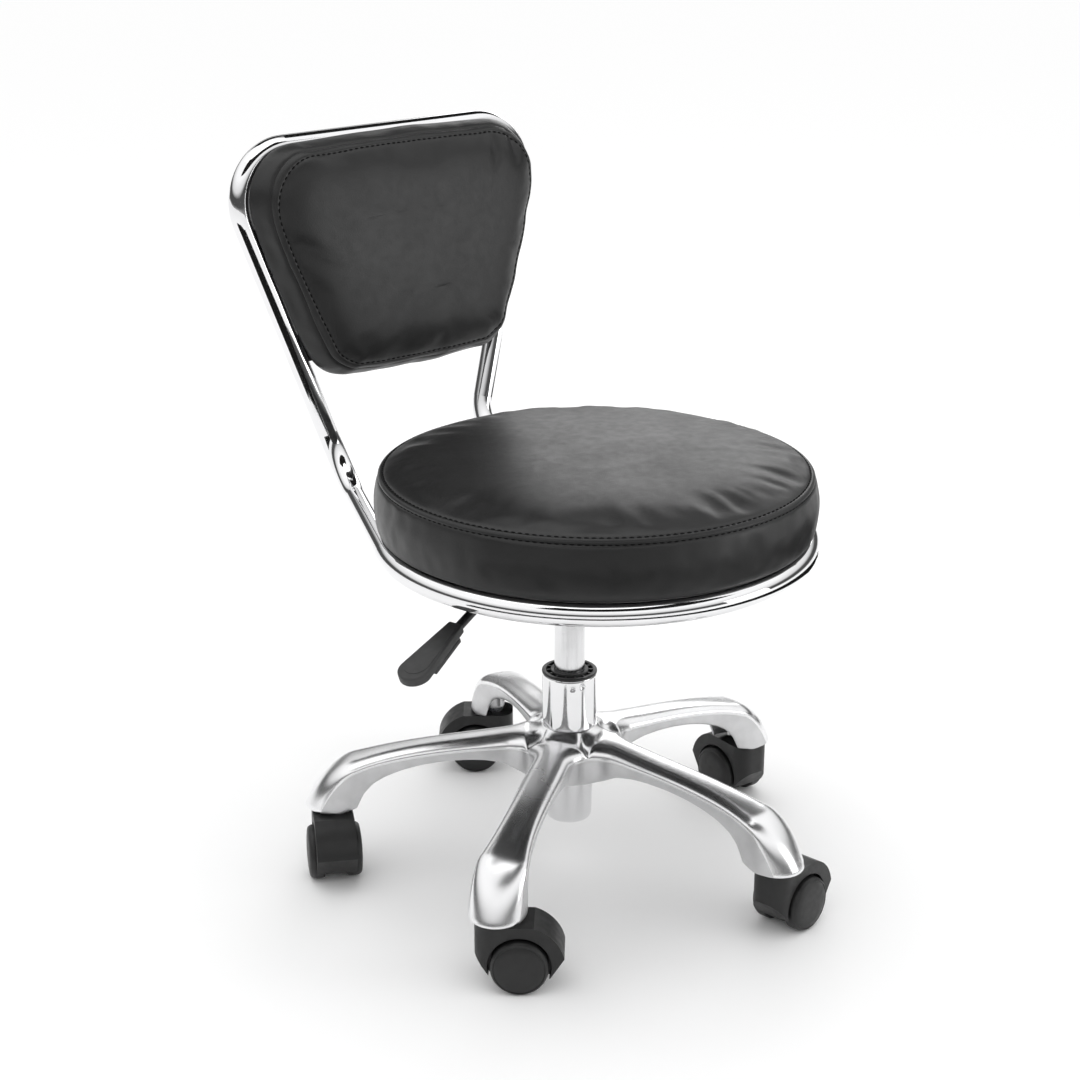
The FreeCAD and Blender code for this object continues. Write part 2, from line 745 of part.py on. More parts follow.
def rounded_trapezoid(body, name, offset, inset):
    """The pad's outline in the leaning plane, with its four corners rounded by arcs."""
    sketch = new_sketch(body, "XZ_Plane", name, offset)
    low = size("back_bottom") + inset
    high = size("back_top") - inset
    corners = [
        Vector(back_half_width(low, inset), low, 0), Vector(back_half_width(high, inset), high, 0),
        Vector(-back_half_width(high, inset), high, 0), Vector(-back_half_width(low, inset), low, 0),
    ]
    radii = [
        size("back_bottom_corner") - inset, size("back_top_corner") - inset,
        size("back_top_corner") - inset, size("back_bottom_corner") - inset,
    ]
    starts = []
    ends = []
    centres = []
    for index, corner in enumerate(corners):
        before = (corners[index - 1] - corner).normalize()
        after = (corners[(index + 1) % 4] - corner).normalize()
        half_turn = (math.pi - before.getAngle(after)) / 2
        setback = radii[index] * math.tan(half_turn)
        starts.append(corner + before * setback)
        ends.append(corner + after * setback)
        towards = (before + after).normalize()
        centres.append(corner + towards * (radii[index] / math.cos(half_turn)))
    for index in range(4):
        following = (index + 1) % 4
        sketch.addGeometry(Part.LineSegment(ends[index], starts[following]), False)
        circle = Part.Circle(centres[following], Vector(0, 0, 1), radii[following])
        first = starts[following] - centres[following]
        last = ends[following] - centres[following]
        sketch.addGeometry(Part.ArcOfCircle(
            circle, math.atan2(first.y, first.x), math.atan2(last.y, last.x)), False)
    for index in range(0, 8, 2):
        arc = index + 1
        sketch.addConstraint(Sketcher.Constraint("Coincident", index, 2, arc, 1))
        sketch.addConstraint(Sketcher.Constraint("Coincident", arc, 2, (index + 2) % 8, 1))
        sketch.addConstraint(Sketcher.Constraint("Block", arc))
    return sketch


back_cushion = new_body("back_cushion")
skirt = rounded_trapezoid(back_cushion, "back_skirt", str(SURFACE), 0)
side_pad = padded(back_cushion, skirt, "back_side_depth", taper=-size("back_side_slope"))
skirt_inset = size("back_side_depth") * math.tan(math.radians(size("back_side_slope")))
face_outline = rounded_trapezoid(
    back_cushion, "back_face", "%g + back_side_depth" % SURFACE, skirt_inset)
face_pad = padded(back_cushion, face_outline, "back_face_depth", taper=-58)
doc.recompute()
board_outline = rounded_trapezoid(back_cushion, "back_recess", str(SURFACE), 7)
recess = back_cushion.newObject("PartDesign::Pocket", "back_recess_cut")
recess.Profile = board_outline
recess.Length = size("back_board_thickness") + 0.1
recess.Reversed = True
doc.recompute()
back_cushion.Placement = back_place


def back_fixings():
    """Screw places in the leaning plane, two on each strap."""
    places = []
    for height in (size("lower_strap_height"), size("upper_strap_height")):
        across = back_half_width(height) - 62
        places.append((-across, height))
        places.append((across, height))
    return places


def along_depth(radius, across, height, start, depth):
    """A cylinder square to the leaning plane, from a depth behind its front."""
    return Part.makeCylinder(radius, depth, Vector(across, -start, height), Vector(0, -1, 0))


back_board = new_body("back_board")
board_sketch = rounded_trapezoid(back_board, "back_board_outline", str(SURFACE), 7.1)
padded(back_board, board_sketch, "back_board_thickness")
hole_sketch = new_sketch(back_board, "XZ_Plane", "back_board_holes")
for across, height in back_fixings():
    add_circle(hole_sketch, "%g" % across, "%g" % height, "bolt_radius")
doc.recompute()
cut_through(back_board, hole_sketch)
back_board.Placement = back_place


def leg_offset(height):
    """A leg's distance from the middle at a height up the leaning plane."""
    slope = size("leg_spread") * math.cos(math.radians(back_lean))
    return size("neck_half_width") + slope * height


def back_strap(height):
    """A flat bar between the splayed legs, coped onto the tube at both ends."""
    half_width = size("strap_width") / 2
    thickness = size("strap_thickness")
    low = leg_offset(height - half_width) - STRAP_END_GAP
    high = leg_offset(height + half_width) - STRAP_END_GAP
    corners = [
        Vector(-low, -SURFACE, height - half_width), Vector(low, -SURFACE, height - half_width),
        Vector(high, -SURFACE, height + half_width), Vector(-high, -SURFACE, height + half_width),
    ]
    bar = Part.Face(Part.makePolygon(corners + corners[:1])).extrude(Vector(0, thickness, 0))
    for across, place in back_fixings():
        bar = bar.cut(along_depth(3.2, across, place, SURFACE - thickness - 1, thickness + 2))
    bar.Placement = back_place
    return bar.cut(frame_solid)


solid("back_strap_lower", back_strap(size("lower_strap_height")))
solid("back_strap_upper", back_strap(size("upper_strap_height")))

back_screws = []
back_tee_nuts = []
for across, height in back_fixings():
    strap_back = SURFACE - size("strap_thickness")
    screw_head = along_depth(6, across, height, strap_back - 2.6, 2.6)
    screw_body = along_depth(2.95, across, height, strap_back, 11.5)
    back_screws.append(screw_head.fuse(screw_body))
    nut_sleeve = along_depth(4, across, height, SURFACE, size("back_board_thickness"))
    back_tee_nuts.append(nut_sleeve.cut(along_depth(2.95, across, height, SURFACE, 12)))
solid("back_screws", group(back_screws), back_place)
solid("back_tee_nuts", group(back_tee_nuts), back_place)

# ---------------------------------------------------------------- casters

CASTER_NAMES = ("right_rear", "left_rear", "left", "front", "right")
TRAIL_ANGLES = {"right_rear": 85, "left_rear": 140, "left": -120, "front": -42, "right": 8}
AXLE_HEIGHT = "wheel_radius"


def hood_outline(sketch):
    """The housing's side view: neck, hood arc about the axle, and the open lower edge."""
    trail = size("caster_trail")
    axle = size(AXLE_HEIGHT)
    radius = size("hood_radius")
    top = size("neck_top")
    rear_angle = math.radians(12)
    rear = Vector(trail + radius * math.cos(rear_angle), axle + radius * math.sin(rear_angle), 0)
    crown = Vector(trail + math.sqrt(radius ** 2 - (top - axle) ** 2), top, 0)
    corners = [
        crown, Vector(-size("neck_radius"), top, 0), Vector(-size("neck_radius"), 33, 0),
        Vector(-5, 15, 0), Vector(6, 8, 0), Vector(34, 7, 0), Vector(46.5, 15, 0), rear,
    ]
    for first, second in zip(corners, corners[1:]):
        sketch.addGeometry(Part.LineSegment(first, second), False)
    circle = Part.Circle(Vector(trail, axle, 0), Vector(0, 0, 1), radius)
    crown_angle = math.atan2(crown.y - axle, crown.x - trail)
    arc = sketch.addGeometry(Part.ArcOfCircle(circle, rear_angle, crown_angle), False)
    for index in range(len(corners) - 2):
        sketch.addConstraint(Sketcher.Constraint("Coincident", index, 2, index + 1, 1))
    sketch.addConstraint(Sketcher.Constraint("Coincident", arc - 1, 2, arc, 1))
    sketch.addConstraint(Sketcher.Constraint("Coincident", arc, 2, 0, 1))
    pin_point(sketch, arc, 3, "caster_trail", AXLE_HEIGHT)
    hold = sketch.addConstraint(Sketcher.Constraint("Radius", arc, radius))
    bind(sketch, "Constraints[%d]" % hold, "hood_radius")
    pin_point(sketch, 0, 2, "-neck_radius", "neck_top")
    sketch.addConstraint(Sketcher.Constraint("Horizontal", 0))
    sketch.addConstraint(Sketcher.Constraint("Vertical", 1))
    for index in (3, 4, 5, 6):
        pin_point(sketch, index, 1, "%g" % corners[index].x, "%g" % corners[index].y)
    drop = sketch.addConstraint(Sketcher.Constraint("DistanceY", -1, 1, 1, 2, 33))
    bind(sketch, "Constraints[%d]" % drop, "wheel_radius + 8")
    edge = sketch.addConstraint(Sketcher.Constraint("DistanceY", -1, 1, arc, 1, rear.y))
    bind(sketch, "Constraints[%d]" % edge, "wheel_radius + hood_radius * sin(12 deg)")


def caster_housing(label, placement):
    """A hooded housing: solid side view, wheel wells cut from both sides, and a stem bore."""
    body = new_body(label)
    side = new_sketch(body, "XZ_Plane", label + "_side")
    hood_outline(side)
    padded(body, side, "hood_width", midplane=True)
    doc.recompute()
    edges = []
    for index, edge in enumerate(body.Shape.Edges, start=1):
        middle = edge.CenterOfMass
        upright = abs(middle.x + size("neck_radius")) < 0.1 and abs(edge.Vertexes[0].Point.y
                                                                   - edge.Vertexes[-1].Point.y) < 0.1
        if upright:
            edges.append("Edge%d" % index)
    blank = body.Tip
    nose = body.newObject("PartDesign::Fillet", label + "_nose")
    nose.Base = (blank, edges)
    nose.Radius = size("neck_radius") - 5
    doc.recompute()
    for direction, name in ((1, "near"), (-1, "far")):
        well = new_sketch(
            body, "XZ_Plane", "%s_well_%s" % (label, name), "%d * (wheel_gap - 0.6)" % direction)
        add_circle(well, "caster_trail", AXLE_HEIGHT, "wheel_well_radius")
        before = body.Shape.Volume
        pocket = body.newObject("PartDesign::Pocket", "%s_well_cut_%s" % (label, name))
        pocket.Profile = well
        pocket.Length = 20
        pocket.Reversed = direction == 1
        doc.recompute()
        if body.Shape.Volume > before - 1000:
            raise RuntimeError(pocket.Name + " cuts nothing")
    axle_hole = new_sketch(body, "XZ_Plane", label + "_axle_hole")
    add_circle(axle_hole, "caster_trail", AXLE_HEIGHT, "axle_radius")
    cut_through(body, axle_hole)
    stem_hole = new_sketch(body, "XY_Plane", label + "_stem_hole", "neck_top")
    add_circle(stem_hole, "0", "0", "stem_radius")
    bore = body.newObject("PartDesign::Pocket", label + "_stem_cut")
    bore.Profile = stem_hole
    bore.Length = 24
    doc.recompute()
    body.Placement = placement
    return body


def caster(name, arm_angle, trail_angle):
    """One twin-wheel caster on its arm, turned to its own trail angle."""
    stem_place = polar(size("stem_circle_radius"), arm_angle)
    placement = Placement(stem_place, Rotation(Vector(0, 0, 1), trail_angle))
    caster_housing("caster_%s_housing" % name, placement)
    turned("caster_%s_stem" % name, [
        ("0", "neck_top - 24"),
        ("stem_radius", "neck_top - 24"),
        ("stem_radius", "neck_top"),
        ("stem_radius + 3", "neck_top"),
        ("stem_radius + 3", "neck_top + 2"),
        ("stem_radius", "neck_top + 4"),
        ("stem_radius", "neck_top + 25"),
        ("stem_radius - 1", "neck_top + 25"),
        ("stem_radius - 1", "neck_top + 27"),
        ("stem_radius", "neck_top + 27"),
        ("stem_radius", "neck_top + 31"),
        ("stem_radius - 1.5", "neck_top + 33"),
        ("0", "neck_top + 33"),
    ], placement)
    across = Placement(Vector(size("caster_trail"), 0, size(AXLE_HEIGHT)), Rotation(Vector(1, 0, 0), -90))
    axle_place = placement.multiply(across)
    turned("caster_%s_axle" % name, [
        ("0", "-wheel_gap - wheel_width + 3"),
        ("axle_radius", "-wheel_gap - wheel_width + 3"),
        ("axle_radius", "wheel_gap + wheel_width - 3"),
        ("0", "wheel_gap + wheel_width - 3"),
    ], axle_place)
    for side, direction in (("a", "1"), ("b", "-1")):
        turned("caster_%s_wheel_%s" % (name, side), [
            ("axle_radius + running_gap", direction + " * (wheel_gap)"),
            ("wheel_hub_radius", direction + " * (wheel_gap)"),
            ("wheel_hub_radius + 1", direction + " * (wheel_gap + 5)"),
            ("wheel_radius - 5", direction + " * (wheel_gap + 5)"),
            ("wheel_radius - 4", direction + " * (wheel_gap)"),
            ("wheel_radius - 1", direction + " * (wheel_gap)"),
            ("wheel_radius", direction + " * (wheel_gap + 1)"),
            ("wheel_radius", direction + " * (wheel_gap + wheel_width - 4)"),
            ("wheel_radius - 2.2", direction + " * (wheel_gap + wheel_width - 1.2)"),
            ("wheel_radius - 5", direction + " * (wheel_gap + wheel_width - 0.4)"),
            ("0", direction + " * (wheel_gap + wheel_width)"),
            ("0", direction + " * (wheel_gap + wheel_width - 2.8)"),
            ("axle_radius + running_gap", direction + " * (wheel_gap + wheel_width - 2.8)"),
        ], axle_place)


grip_rings = []
for index, name in enumerate(CASTER_NAMES):
    arm_angle = size("first_arm_angle") + index * 360.0 / size("arm_count")
    caster(name, arm_angle, TRAIL_ANGLES[name])
    centre = polar(size("stem_circle_radius"), arm_angle, size("neck_top") + 25.2)
    ring = Part.makeCylinder(size("stem_radius + running_gap"), 1.6, centre)
    ring = ring.cut(Part.makeCylinder(size("stem_radius") - 0.9, 1.6, centre))
    gap = Part.makeBox(8, 2, 1.6, centre + Vector(0, -1, 0))
    grip_rings.append(ring.cut(gap))
solid("caster_grip_rings", group(grip_rings))

# ---------------------------------------------------------------- checks and export

doc.recompute()
for item in doc.Objects:
    if "Invalid" in item.State or "Error" in item.State:
        raise RuntimeError("%s did not build: %s" % (item.Label, item.State))
for piece in nodes:
    if piece.Shape.isNull() or not piece.Shape.isValid() or piece.Shape.Volume <= 0:
        raise RuntimeError("%s has no valid shape" % piece.Label)
    piece.Shape.exportStep("parts/%s.step" % piece.Label)
print("%d pieces written" % len(nodes))
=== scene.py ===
import json
import math
import random

import bmesh
import bpy
import numpy as np
from mathutils import Matrix, Vector, kdtree


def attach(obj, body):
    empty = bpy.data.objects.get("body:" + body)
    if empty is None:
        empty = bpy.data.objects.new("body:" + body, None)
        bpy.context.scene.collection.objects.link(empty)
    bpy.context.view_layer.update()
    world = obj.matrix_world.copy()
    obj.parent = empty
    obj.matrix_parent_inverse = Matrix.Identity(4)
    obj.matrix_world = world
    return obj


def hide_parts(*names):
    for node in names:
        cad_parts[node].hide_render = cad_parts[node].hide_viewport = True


# Looks for the rolling stylist stool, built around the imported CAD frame. Shapes are worked out in
# millimetres in the CAD's frame (origin on the floor under the gas lift, +Z up, sitter faces -Y)
# and turned into metres when a mesh is made.

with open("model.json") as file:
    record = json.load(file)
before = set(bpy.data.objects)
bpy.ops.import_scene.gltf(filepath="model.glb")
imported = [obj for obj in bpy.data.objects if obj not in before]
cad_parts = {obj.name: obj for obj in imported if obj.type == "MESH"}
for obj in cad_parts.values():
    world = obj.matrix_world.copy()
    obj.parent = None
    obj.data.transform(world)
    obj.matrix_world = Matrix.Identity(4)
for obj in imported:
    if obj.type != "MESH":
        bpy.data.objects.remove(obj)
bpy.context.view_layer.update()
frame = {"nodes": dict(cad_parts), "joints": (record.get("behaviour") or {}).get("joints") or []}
JOINTS = {joint["name"]: joint for joint in frame["joints"]}
MM = 0.001


# ---------------------------------------------------------------- shaders

class Shader:
    """A Principled material with short calls for its procedural nodes."""

    def __init__(self, name, **values):
        self.material = bpy.data.materials.new(name)
        self.material.use_nodes = True
        self.tree = self.material.node_tree
        self.principled = self.tree.nodes["Principled BSDF"]
        for socket, value in values.items():
            self.principled.inputs[socket.replace("_", " ")].default_value = value
        self.place = self.tree.nodes.new("ShaderNodeTexCoord").outputs["Object"]

    def node(self, kind, settings=(), **inputs):
        made = self.tree.nodes.new(kind)
        for prop, value in dict(settings).items():
            setattr(made, prop, value)
        for socket, value in inputs.items():
            target = made.inputs[socket.replace("_", " ")]
            if isinstance(value, bpy.types.NodeSocket):
                self.tree.links.new(value, target)
            else:
                target.default_value = value
        return made

    def stretched(self, scale):
        return self.node("ShaderNodeMapping", Vector=self.place, Scale=scale).outputs["Vector"]

    def noise(self, size_mm, detail=3.0, where=None, distortion=0.0):
        made = self.node("ShaderNodeTexNoise", Vector=where or self.place, Scale=1 / (size_mm * MM),
                         Detail=detail, Distortion=distortion)
        return made.outputs["Fac"]

    def cells(self, size_mm, feature="F1", where=None):
        made = self.node("ShaderNodeTexVoronoi", {"feature": feature}, Vector=where or self.place,
                         Scale=1 / (size_mm * MM))
        return made.outputs["Distance"]

    def spread(self, value, low, high, start=0.3, end=0.7):
        made = self.node("ShaderNodeMapRange", Value=value)
        made.inputs["From Min"].default_value = start
        made.inputs["From Max"].default_value = end
        made.inputs["To Min"].default_value = low
        made.inputs["To Max"].default_value = high
        return made.outputs["Result"]

    def ramp(self, value, stops):
        made = self.node("ShaderNodeValToRGB", Fac=value)
        elements = made.color_ramp.elements
        while len(elements) < len(stops):
            elements.new(0.5)
        for element, (position, color) in zip(elements, stops):
            element.position = position
            element.color = (*color, 1.0)
        return made.outputs["Color"]

    def total(self, first, second, operation="ADD"):
        made = self.node("ShaderNodeMath", {"operation": operation})
        for socket, value in zip(made.inputs, (first, second)):
            if isinstance(value, bpy.types.NodeSocket):
                self.tree.links.new(value, socket)
            else:
                socket.default_value = value
        return made.outputs["Value"]

    def drive(self, socket, value):
        self.tree.links.new(value, self.principled.inputs[socket.replace("_", " ")])

    def bump(self, height, depth_mm, strength=1.0):
        made = self.node("ShaderNodeBump", Height=height, Distance=depth_mm * MM, Strength=strength)
        self.drive("Normal", made.outputs["Normal"])


def grey(level):
    """A very slightly cool grey."""
    return (level, level, level * 1.01)


def chrome(name, level=0.86, smooth=0.035, worn=0.11):
    """Bright plating with faint smears and hairline scratches."""
    shader = Shader(name, Metallic=1.0)
    smears = shader.noise(38, 4, distortion=0.6)
    shader.drive("Base_Color", shader.ramp(smears, [(0.3, grey(level)), (0.75, grey(level * 0.94))]))
    hairlines = shader.noise(3, 2, shader.stretched((1.0, 1.0, 0.05)))
    mixed = shader.total(shader.total(smears, hairlines), 0.5, "MULTIPLY")
    shader.drive("Roughness", shader.spread(mixed, smooth, worn, 0.35, 0.75))
    shader.bump(hairlines, 0.004, 0.3)
    return shader.material


def polished_casting():
    """Machine-polished aluminium: soft broad reflections with fine polishing lines."""
    shader = Shader("polished_aluminium", Metallic=1.0)
    patches = shader.noise(55, 2, distortion=0.3)
    lines = shader.noise(1.6, 3, shader.stretched((1.0, 1.0, 0.2)))
    shader.drive("Base_Color", shader.ramp(patches, [(0.3, grey(0.87)), (0.8, grey(0.82))]))
    shader.drive("Roughness", shader.spread(patches, 0.22, 0.29, 0.35, 0.7))
    shader.bump(lines, 0.003, 0.12)
    return shader.material


def raw_casting():
    """The tumbled, unpolished skirt and inside of the casting."""
    shader = Shader("raw_casting", Metallic=0.85)
    grain = shader.noise(0.8, 3)
    clouds = shader.noise(18, 3)
    shader.drive("Base_Color", shader.ramp(clouds, [(0.3, grey(0.60)), (0.75, grey(0.70))]))
    shader.drive("Roughness", shader.spread(grain, 0.30, 0.42))
    shader.bump(grain, 0.06, 0.5)
    return shader.material


def vinyl(name="black_vinyl", level=0.013):
    """Soft-grained black upholstery vinyl: pebble grain, fine creases and a low satin sheen."""
    shader = Shader(name, Specular_IOR_Level=0.42)
    warped = shader.noise(9, 3, distortion=0.4)
    pebbles = shader.cells(1.1, "SMOOTH_F1")
    pores = shader.noise(0.35, 2)
    clouds = shader.noise(60, 3)
    shader.drive("Base_Color", shader.ramp(
        clouds, [(0.3, grey(level * 0.85)), (0.75, grey(level * 1.25))]))
    worn = shader.total(shader.total(warped, shader.total(clouds, 1.0, "MULTIPLY")), 0.5, "MULTIPLY")
    shader.drive("Roughness", shader.spread(worn, 0.34, 0.46))
    height = shader.total(pebbles, shader.total(pores, 0.35, "MULTIPLY"))
    height = shader.total(height, shader.total(warped, 0.9, "MULTIPLY"))
    shader.bump(height, 0.10, 0.55)
    return shader.material


def moulded(name, level, low, high, grain_mm=0.5, depth=0.03):
    """Moulded plastic with the mould's fine spark texture."""
    shader = Shader(name, Specular_IOR_Level=0.5)
    grain = shader.noise(grain_mm, 2)
    clouds = shader.noise(22, 3)
    shader.drive("Base_Color", shader.ramp(
        clouds, [(0.3, grey(level * 0.85)), (0.75, grey(level * 1.2))]))
    shader.drive("Roughness", shader.spread(shader.noise(7, 3), low, high))
    shader.bump(grain, depth, 0.5)
    return shader.material


def powder_coat():
    """Satin black powder coat with its orange peel."""
    shader = Shader("powder_coat")
    peel = shader.noise(1.4, 2)
    shader.drive("Base_Color", shader.ramp(peel, [(0.3, grey(0.016)), (0.8, grey(0.024))]))
    shader.drive("Roughness", shader.spread(shader.noise(12, 3), 0.30, 0.44))
    shader.bump(peel, 0.03, 0.5)
    return shader.material


def zinc_plate():
    """Zinc-plated steel with a faint spangle."""
    shader = Shader("zinc_plate", Metallic=1.0)
    spangle = shader.noise(4, 4)
    shader.drive("Base_Color", shader.ramp(
        spangle, [(0.3, (0.52, 0.53, 0.56)), (0.75, (0.66, 0.67, 0.70))]))
    shader.drive("Roughness", shader.spread(spangle, 0.22, 0.38))
    shader.bump(shader.noise(0.6, 2), 0.01, 0.4)
    return shader.material


def plywood():
    """Raw birch plywood with its long grain across the seat."""
    shader = Shader("raw_plywood", Specular_IOR_Level=0.3)
    grain = shader.noise(5, 6, shader.stretched((0.08, 1.0, 1.0)), 1.2)
    pores = shader.noise(0.9, 2, shader.stretched((0.05, 1.0, 1.0)))
    shader.drive("Base_Color", shader.ramp(
        grain, [(0.25, (0.50, 0.34, 0.19)), (0.5, (0.62, 0.45, 0.27)), (0.8, (0.70, 0.54, 0.35))]))
    shader.drive("Roughness", shader.spread(grain, 0.60, 0.78))
    shader.bump(pores, 0.05, 0.5)
    return shader.material


def thread():
    """Twisted black polyester thread."""
    shader = Shader("black_thread", Specular_IOR_Level=0.08)
    twist = shader.noise(0.5, 1)
    shader.drive("Base_Color", shader.ramp(twist, [(0.3, grey(0.004)), (0.8, grey(0.009))]))
    shader.drive("Roughness", shader.spread(twist, 0.55, 0.75))
    shader.bump(twist, 0.05, 0.6)
    return shader.material


def rubber():
    """Matt black rubber."""
    shader = Shader("black_rubber", Specular_IOR_Level=0.35)
    grain = shader.noise(0.7, 3)
    shader.drive("Base_Color", shader.ramp(grain, [(0.3, grey(0.020)), (0.8, grey(0.032))]))
    shader.drive("Roughness", shader.spread(grain, 0.62, 0.80))
    shader.bump(grain, 0.04, 0.5)
    return shader.material


def lining():
    """Black non-woven cloth under the seat."""
    shader = Shader("non_woven_cloth", Specular_IOR_Level=0.15)
    fibres = shader.noise(0.6, 4, distortion=1.2)
    shader.drive("Base_Color", shader.ramp(fibres, [(0.3, grey(0.008)), (0.8, grey(0.020))]))
    shader.drive("Roughness", shader.spread(fibres, 0.80, 0.95))
    shader.bump(fibres, 0.06, 0.6)
    return shader.material


CHROME_TUBE = chrome("chrome_tube")
CHROME_LIFT = chrome("chrome_lift", 0.84, 0.05, 0.13)
BRUSHED_ROD = chrome("ground_cylinder", 0.78, 0.14, 0.26)
POLISHED = polished_casting()
RAW = raw_casting()
VINYL = vinyl()
NYLON = moulded("caster_nylon", 0.008, 0.40, 0.54)
BUSHING = moulded("bushing_plastic", 0.018, 0.34, 0.46)
GRIP = moulded("grip_plastic", 0.040, 0.50, 0.64, 0.7, 0.05)
PAINT = powder_coat()
ZINC = zinc_plate()
PLYWOOD = plywood()
THREAD = thread()
RUBBER = rubber()
CLOTH = lining()


# ---------------------------------------------------------------- mesh helpers

def piece(name, points, faces, materials, face_materials=None, sharp=None):
    """A mesh object from points in millimetres; sharp is the angle above which edges stay hard."""
    mesh = bpy.data.meshes.new(name)
    mesh.from_pydata([(x * MM, y * MM, z * MM) for x, y, z in points], [], faces)
    for material in materials:
        mesh.materials.append(material)
    if face_materials is not None:
        mesh.polygons.foreach_set("material_index", face_materials)
    tidy(mesh)
    finish_shading(mesh, sharp)
    obj = bpy.data.objects.new(name, mesh)
    bpy.context.scene.collection.objects.link(obj)
    return obj


def tidy(mesh, merge_mm=0.01):
    """Merge touching points and turn every face outwards."""
    work = bmesh.new()
    work.from_mesh(mesh)
    bmesh.ops.remove_doubles(work, verts=work.verts, dist=merge_mm * MM)
    bmesh.ops.recalc_face_normals(work, faces=work.faces)
    work.to_mesh(mesh)
    work.free()


def finish_shading(mesh, sharp):
    mesh.polygons.foreach_set("use_smooth", [True] * len(mesh.polygons))
    if sharp is not None:
        mesh.set_sharp_from_angle(angle=math.radians(sharp))
    mesh.update()


def modifier(obj, kind, **settings):
    made = obj.modifiers.new(kind.lower(), kind)
    for prop, value in settings.items():
        setattr(made, prop, value)
    return made


def applied(obj, sharp=None):
    """Bake the object's modifiers into its mesh."""
    graph = bpy.context.evaluated_depsgraph_get()
    mesh = bpy.data.meshes.new_from_object(obj.evaluated_get(graph))
    obj.modifiers.clear()
    obj.data = mesh
    finish_shading(mesh, sharp)
    return obj


def joined(name, objects):
    """Join objects into one mesh piece, keeping their materials."""
    mesh = bpy.data.meshes.new(name)
    work = bmesh.new()
    materials = []
    for obj in objects:
        offset = []
        for material in obj.data.materials:
            if material not in materials:
                materials.append(material)
            offset.append(materials.index(material))
        first = len(work.faces)
        work.from_mesh(obj.data)
        work.faces.ensure_lookup_table()
        for face in work.faces[first:]:
            face.material_index = offset[face.material_index]
        bpy.data.objects.remove(obj)
    work.to_mesh(mesh)
    work.free()
    for material in materials:
        mesh.materials.append(material)
    made = bpy.data.objects.new(name, mesh)
    bpy.context.scene.collection.objects.link(made)
    return made


def moved(obj, matrix):
    """Move a mesh by a matrix whose translation is in millimetres."""
    metres = matrix.copy()
    metres.translation = matrix.translation * MM
    obj.data.transform(metres)
    obj.data.update()
    return obj


def rounded(profile, radii, steps=4):
    """An open polyline whose inner corners are turned into arcs of the given radii."""
    points = [Vector(profile[0])]
    for index in range(1, len(profile) - 1):
        corner = Vector(profile[index])
        back = Vector(profile[index - 1]) - corner
        ahead = Vector(profile[index + 1]) - corner
        radius = radii[index - 1] if isinstance(radii, (list, tuple)) else radii
        bend = math.pi - back.angle(ahead)
        if radius <= 0 or bend < 0.02:
            points.append(corner)
            continue
        setback = min(radius * math.tan(bend / 2), 0.45 * back.length, 0.45 * ahead.length)
        start = corner + back.normalized() * setback
        end = corner + ahead.normalized() * setback
        for step in range(steps + 1):
            share = step / steps
            points.append(start.lerp(corner, share).lerp(corner.lerp(end, share), share))
    points.append(Vector(profile[-1]))
    return [tuple(point) for point in points]


def lathe(name, profile, material, place=None, segments=72, sharp=40, loop=False):
    """Turn (radius, height) points about Z; points on the axis become single poles."""
    points = []
    rings = []
    for radius, height in profile:
        if radius < 1e-4:
            rings.append([len(points)])
            points.append((0.0, 0.0, height))
            continue
        rings.append(list(range(len(points), len(points) + segments)))
        for index in range(segments):
            turn = 2 * math.pi * index / segments
            points.append((radius * math.cos(turn), radius * math.sin(turn), height))
    faces = []
    pairs = list(zip(rings, rings[1:]))
    if loop:
        pairs.append((rings[-1], rings[0]))
    for low, high in pairs:
        for index in range(segments):
            following = (index + 1) % segments
            if len(low) == 1 and len(high) == 1:
                continue
            if len(low) == 1:
                faces.append((low[0], high[following], high[index]))
            elif len(high) == 1:
                faces.append((low[index], low[following], high[0]))
            else:
                faces.append((low[index], low[following], high[following], high[index]))
    made = piece(name, points, faces, [material], sharp=sharp)
    return moved(made, place) if place is not None else made


def interpolate(table, key, column):
    """Read one column of a table of stations at a value of its first column."""
    keys = [row[0] for row in table]
    values = [row[column] for row in table]
    return float(np.interp(key, keys, values))


def finished(obj, body, slot, *nodes):
    """Ride on a body and stand for CAD nodes; the slot argument is not used."""
    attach(obj, body)
    if nodes:
        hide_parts(*nodes)
    return obj


# ---------------------------------------------------------------- star base

ARM_COUNT = 5
FIRST_ARM = math.atan2(JOINTS["caster_right_rear_swivel"]["pos_m"][1],
                       JOINTS["caster_right_rear_swivel"]["pos_m"][0])
STEM_CIRCLE = math.hypot(*JOINTS["caster_right_rear_swivel"]["pos_m"][:2]) / MM
HALF_SECTOR = math.pi / ARM_COUNT
CROTCH_RADIUS = 27.0
ARM_HALF = 18.0
RIM = 64.0
CUP_RADIUS = 25.3

# Distance from the axis, half width at the polished edge, crest, polished edge, skirt bottom.
ARM_STATIONS = [
    (40, 18.0, 139.6, 129.0, 101.0),
    (50, 18.0, 138.6, 128.4, 103.5),
    (62, 18.0, 136.9, 127.4, 110.0),
    (78, 17.7, 134.6, 126.4, 113.0),
    (96, 17.3, 132.2, 124.8, 113.2),
    (116, 17.1, 129.8, 122.6, 111.8),
    (136, 17.1, 127.0, 119.8, 108.6),
    (154, 17.5, 123.9, 116.8, 103.8),
    (170, 18.3, 120.6, 113.6, 97.6),
    (182, 19.3, 117.6, 110.8, 90.5),
    (191, 20.6, 115.2, 108.2, 80.5),
    (197, 21.8, 113.4, 106.0, 66.5),
]
# Share of the half width and share of the drop from crest to edge, from the middle outwards.
TOP_SHARES = [(0.0, 0.0), (0.26, 0.015), (0.50, 0.06), (0.74, 0.26), (0.92, 0.62), (1.0, 1.0)]
SKIRT_OFFSETS = [(0.9, 2.2), (1.3, 0.5), (2.2, 1.0)]


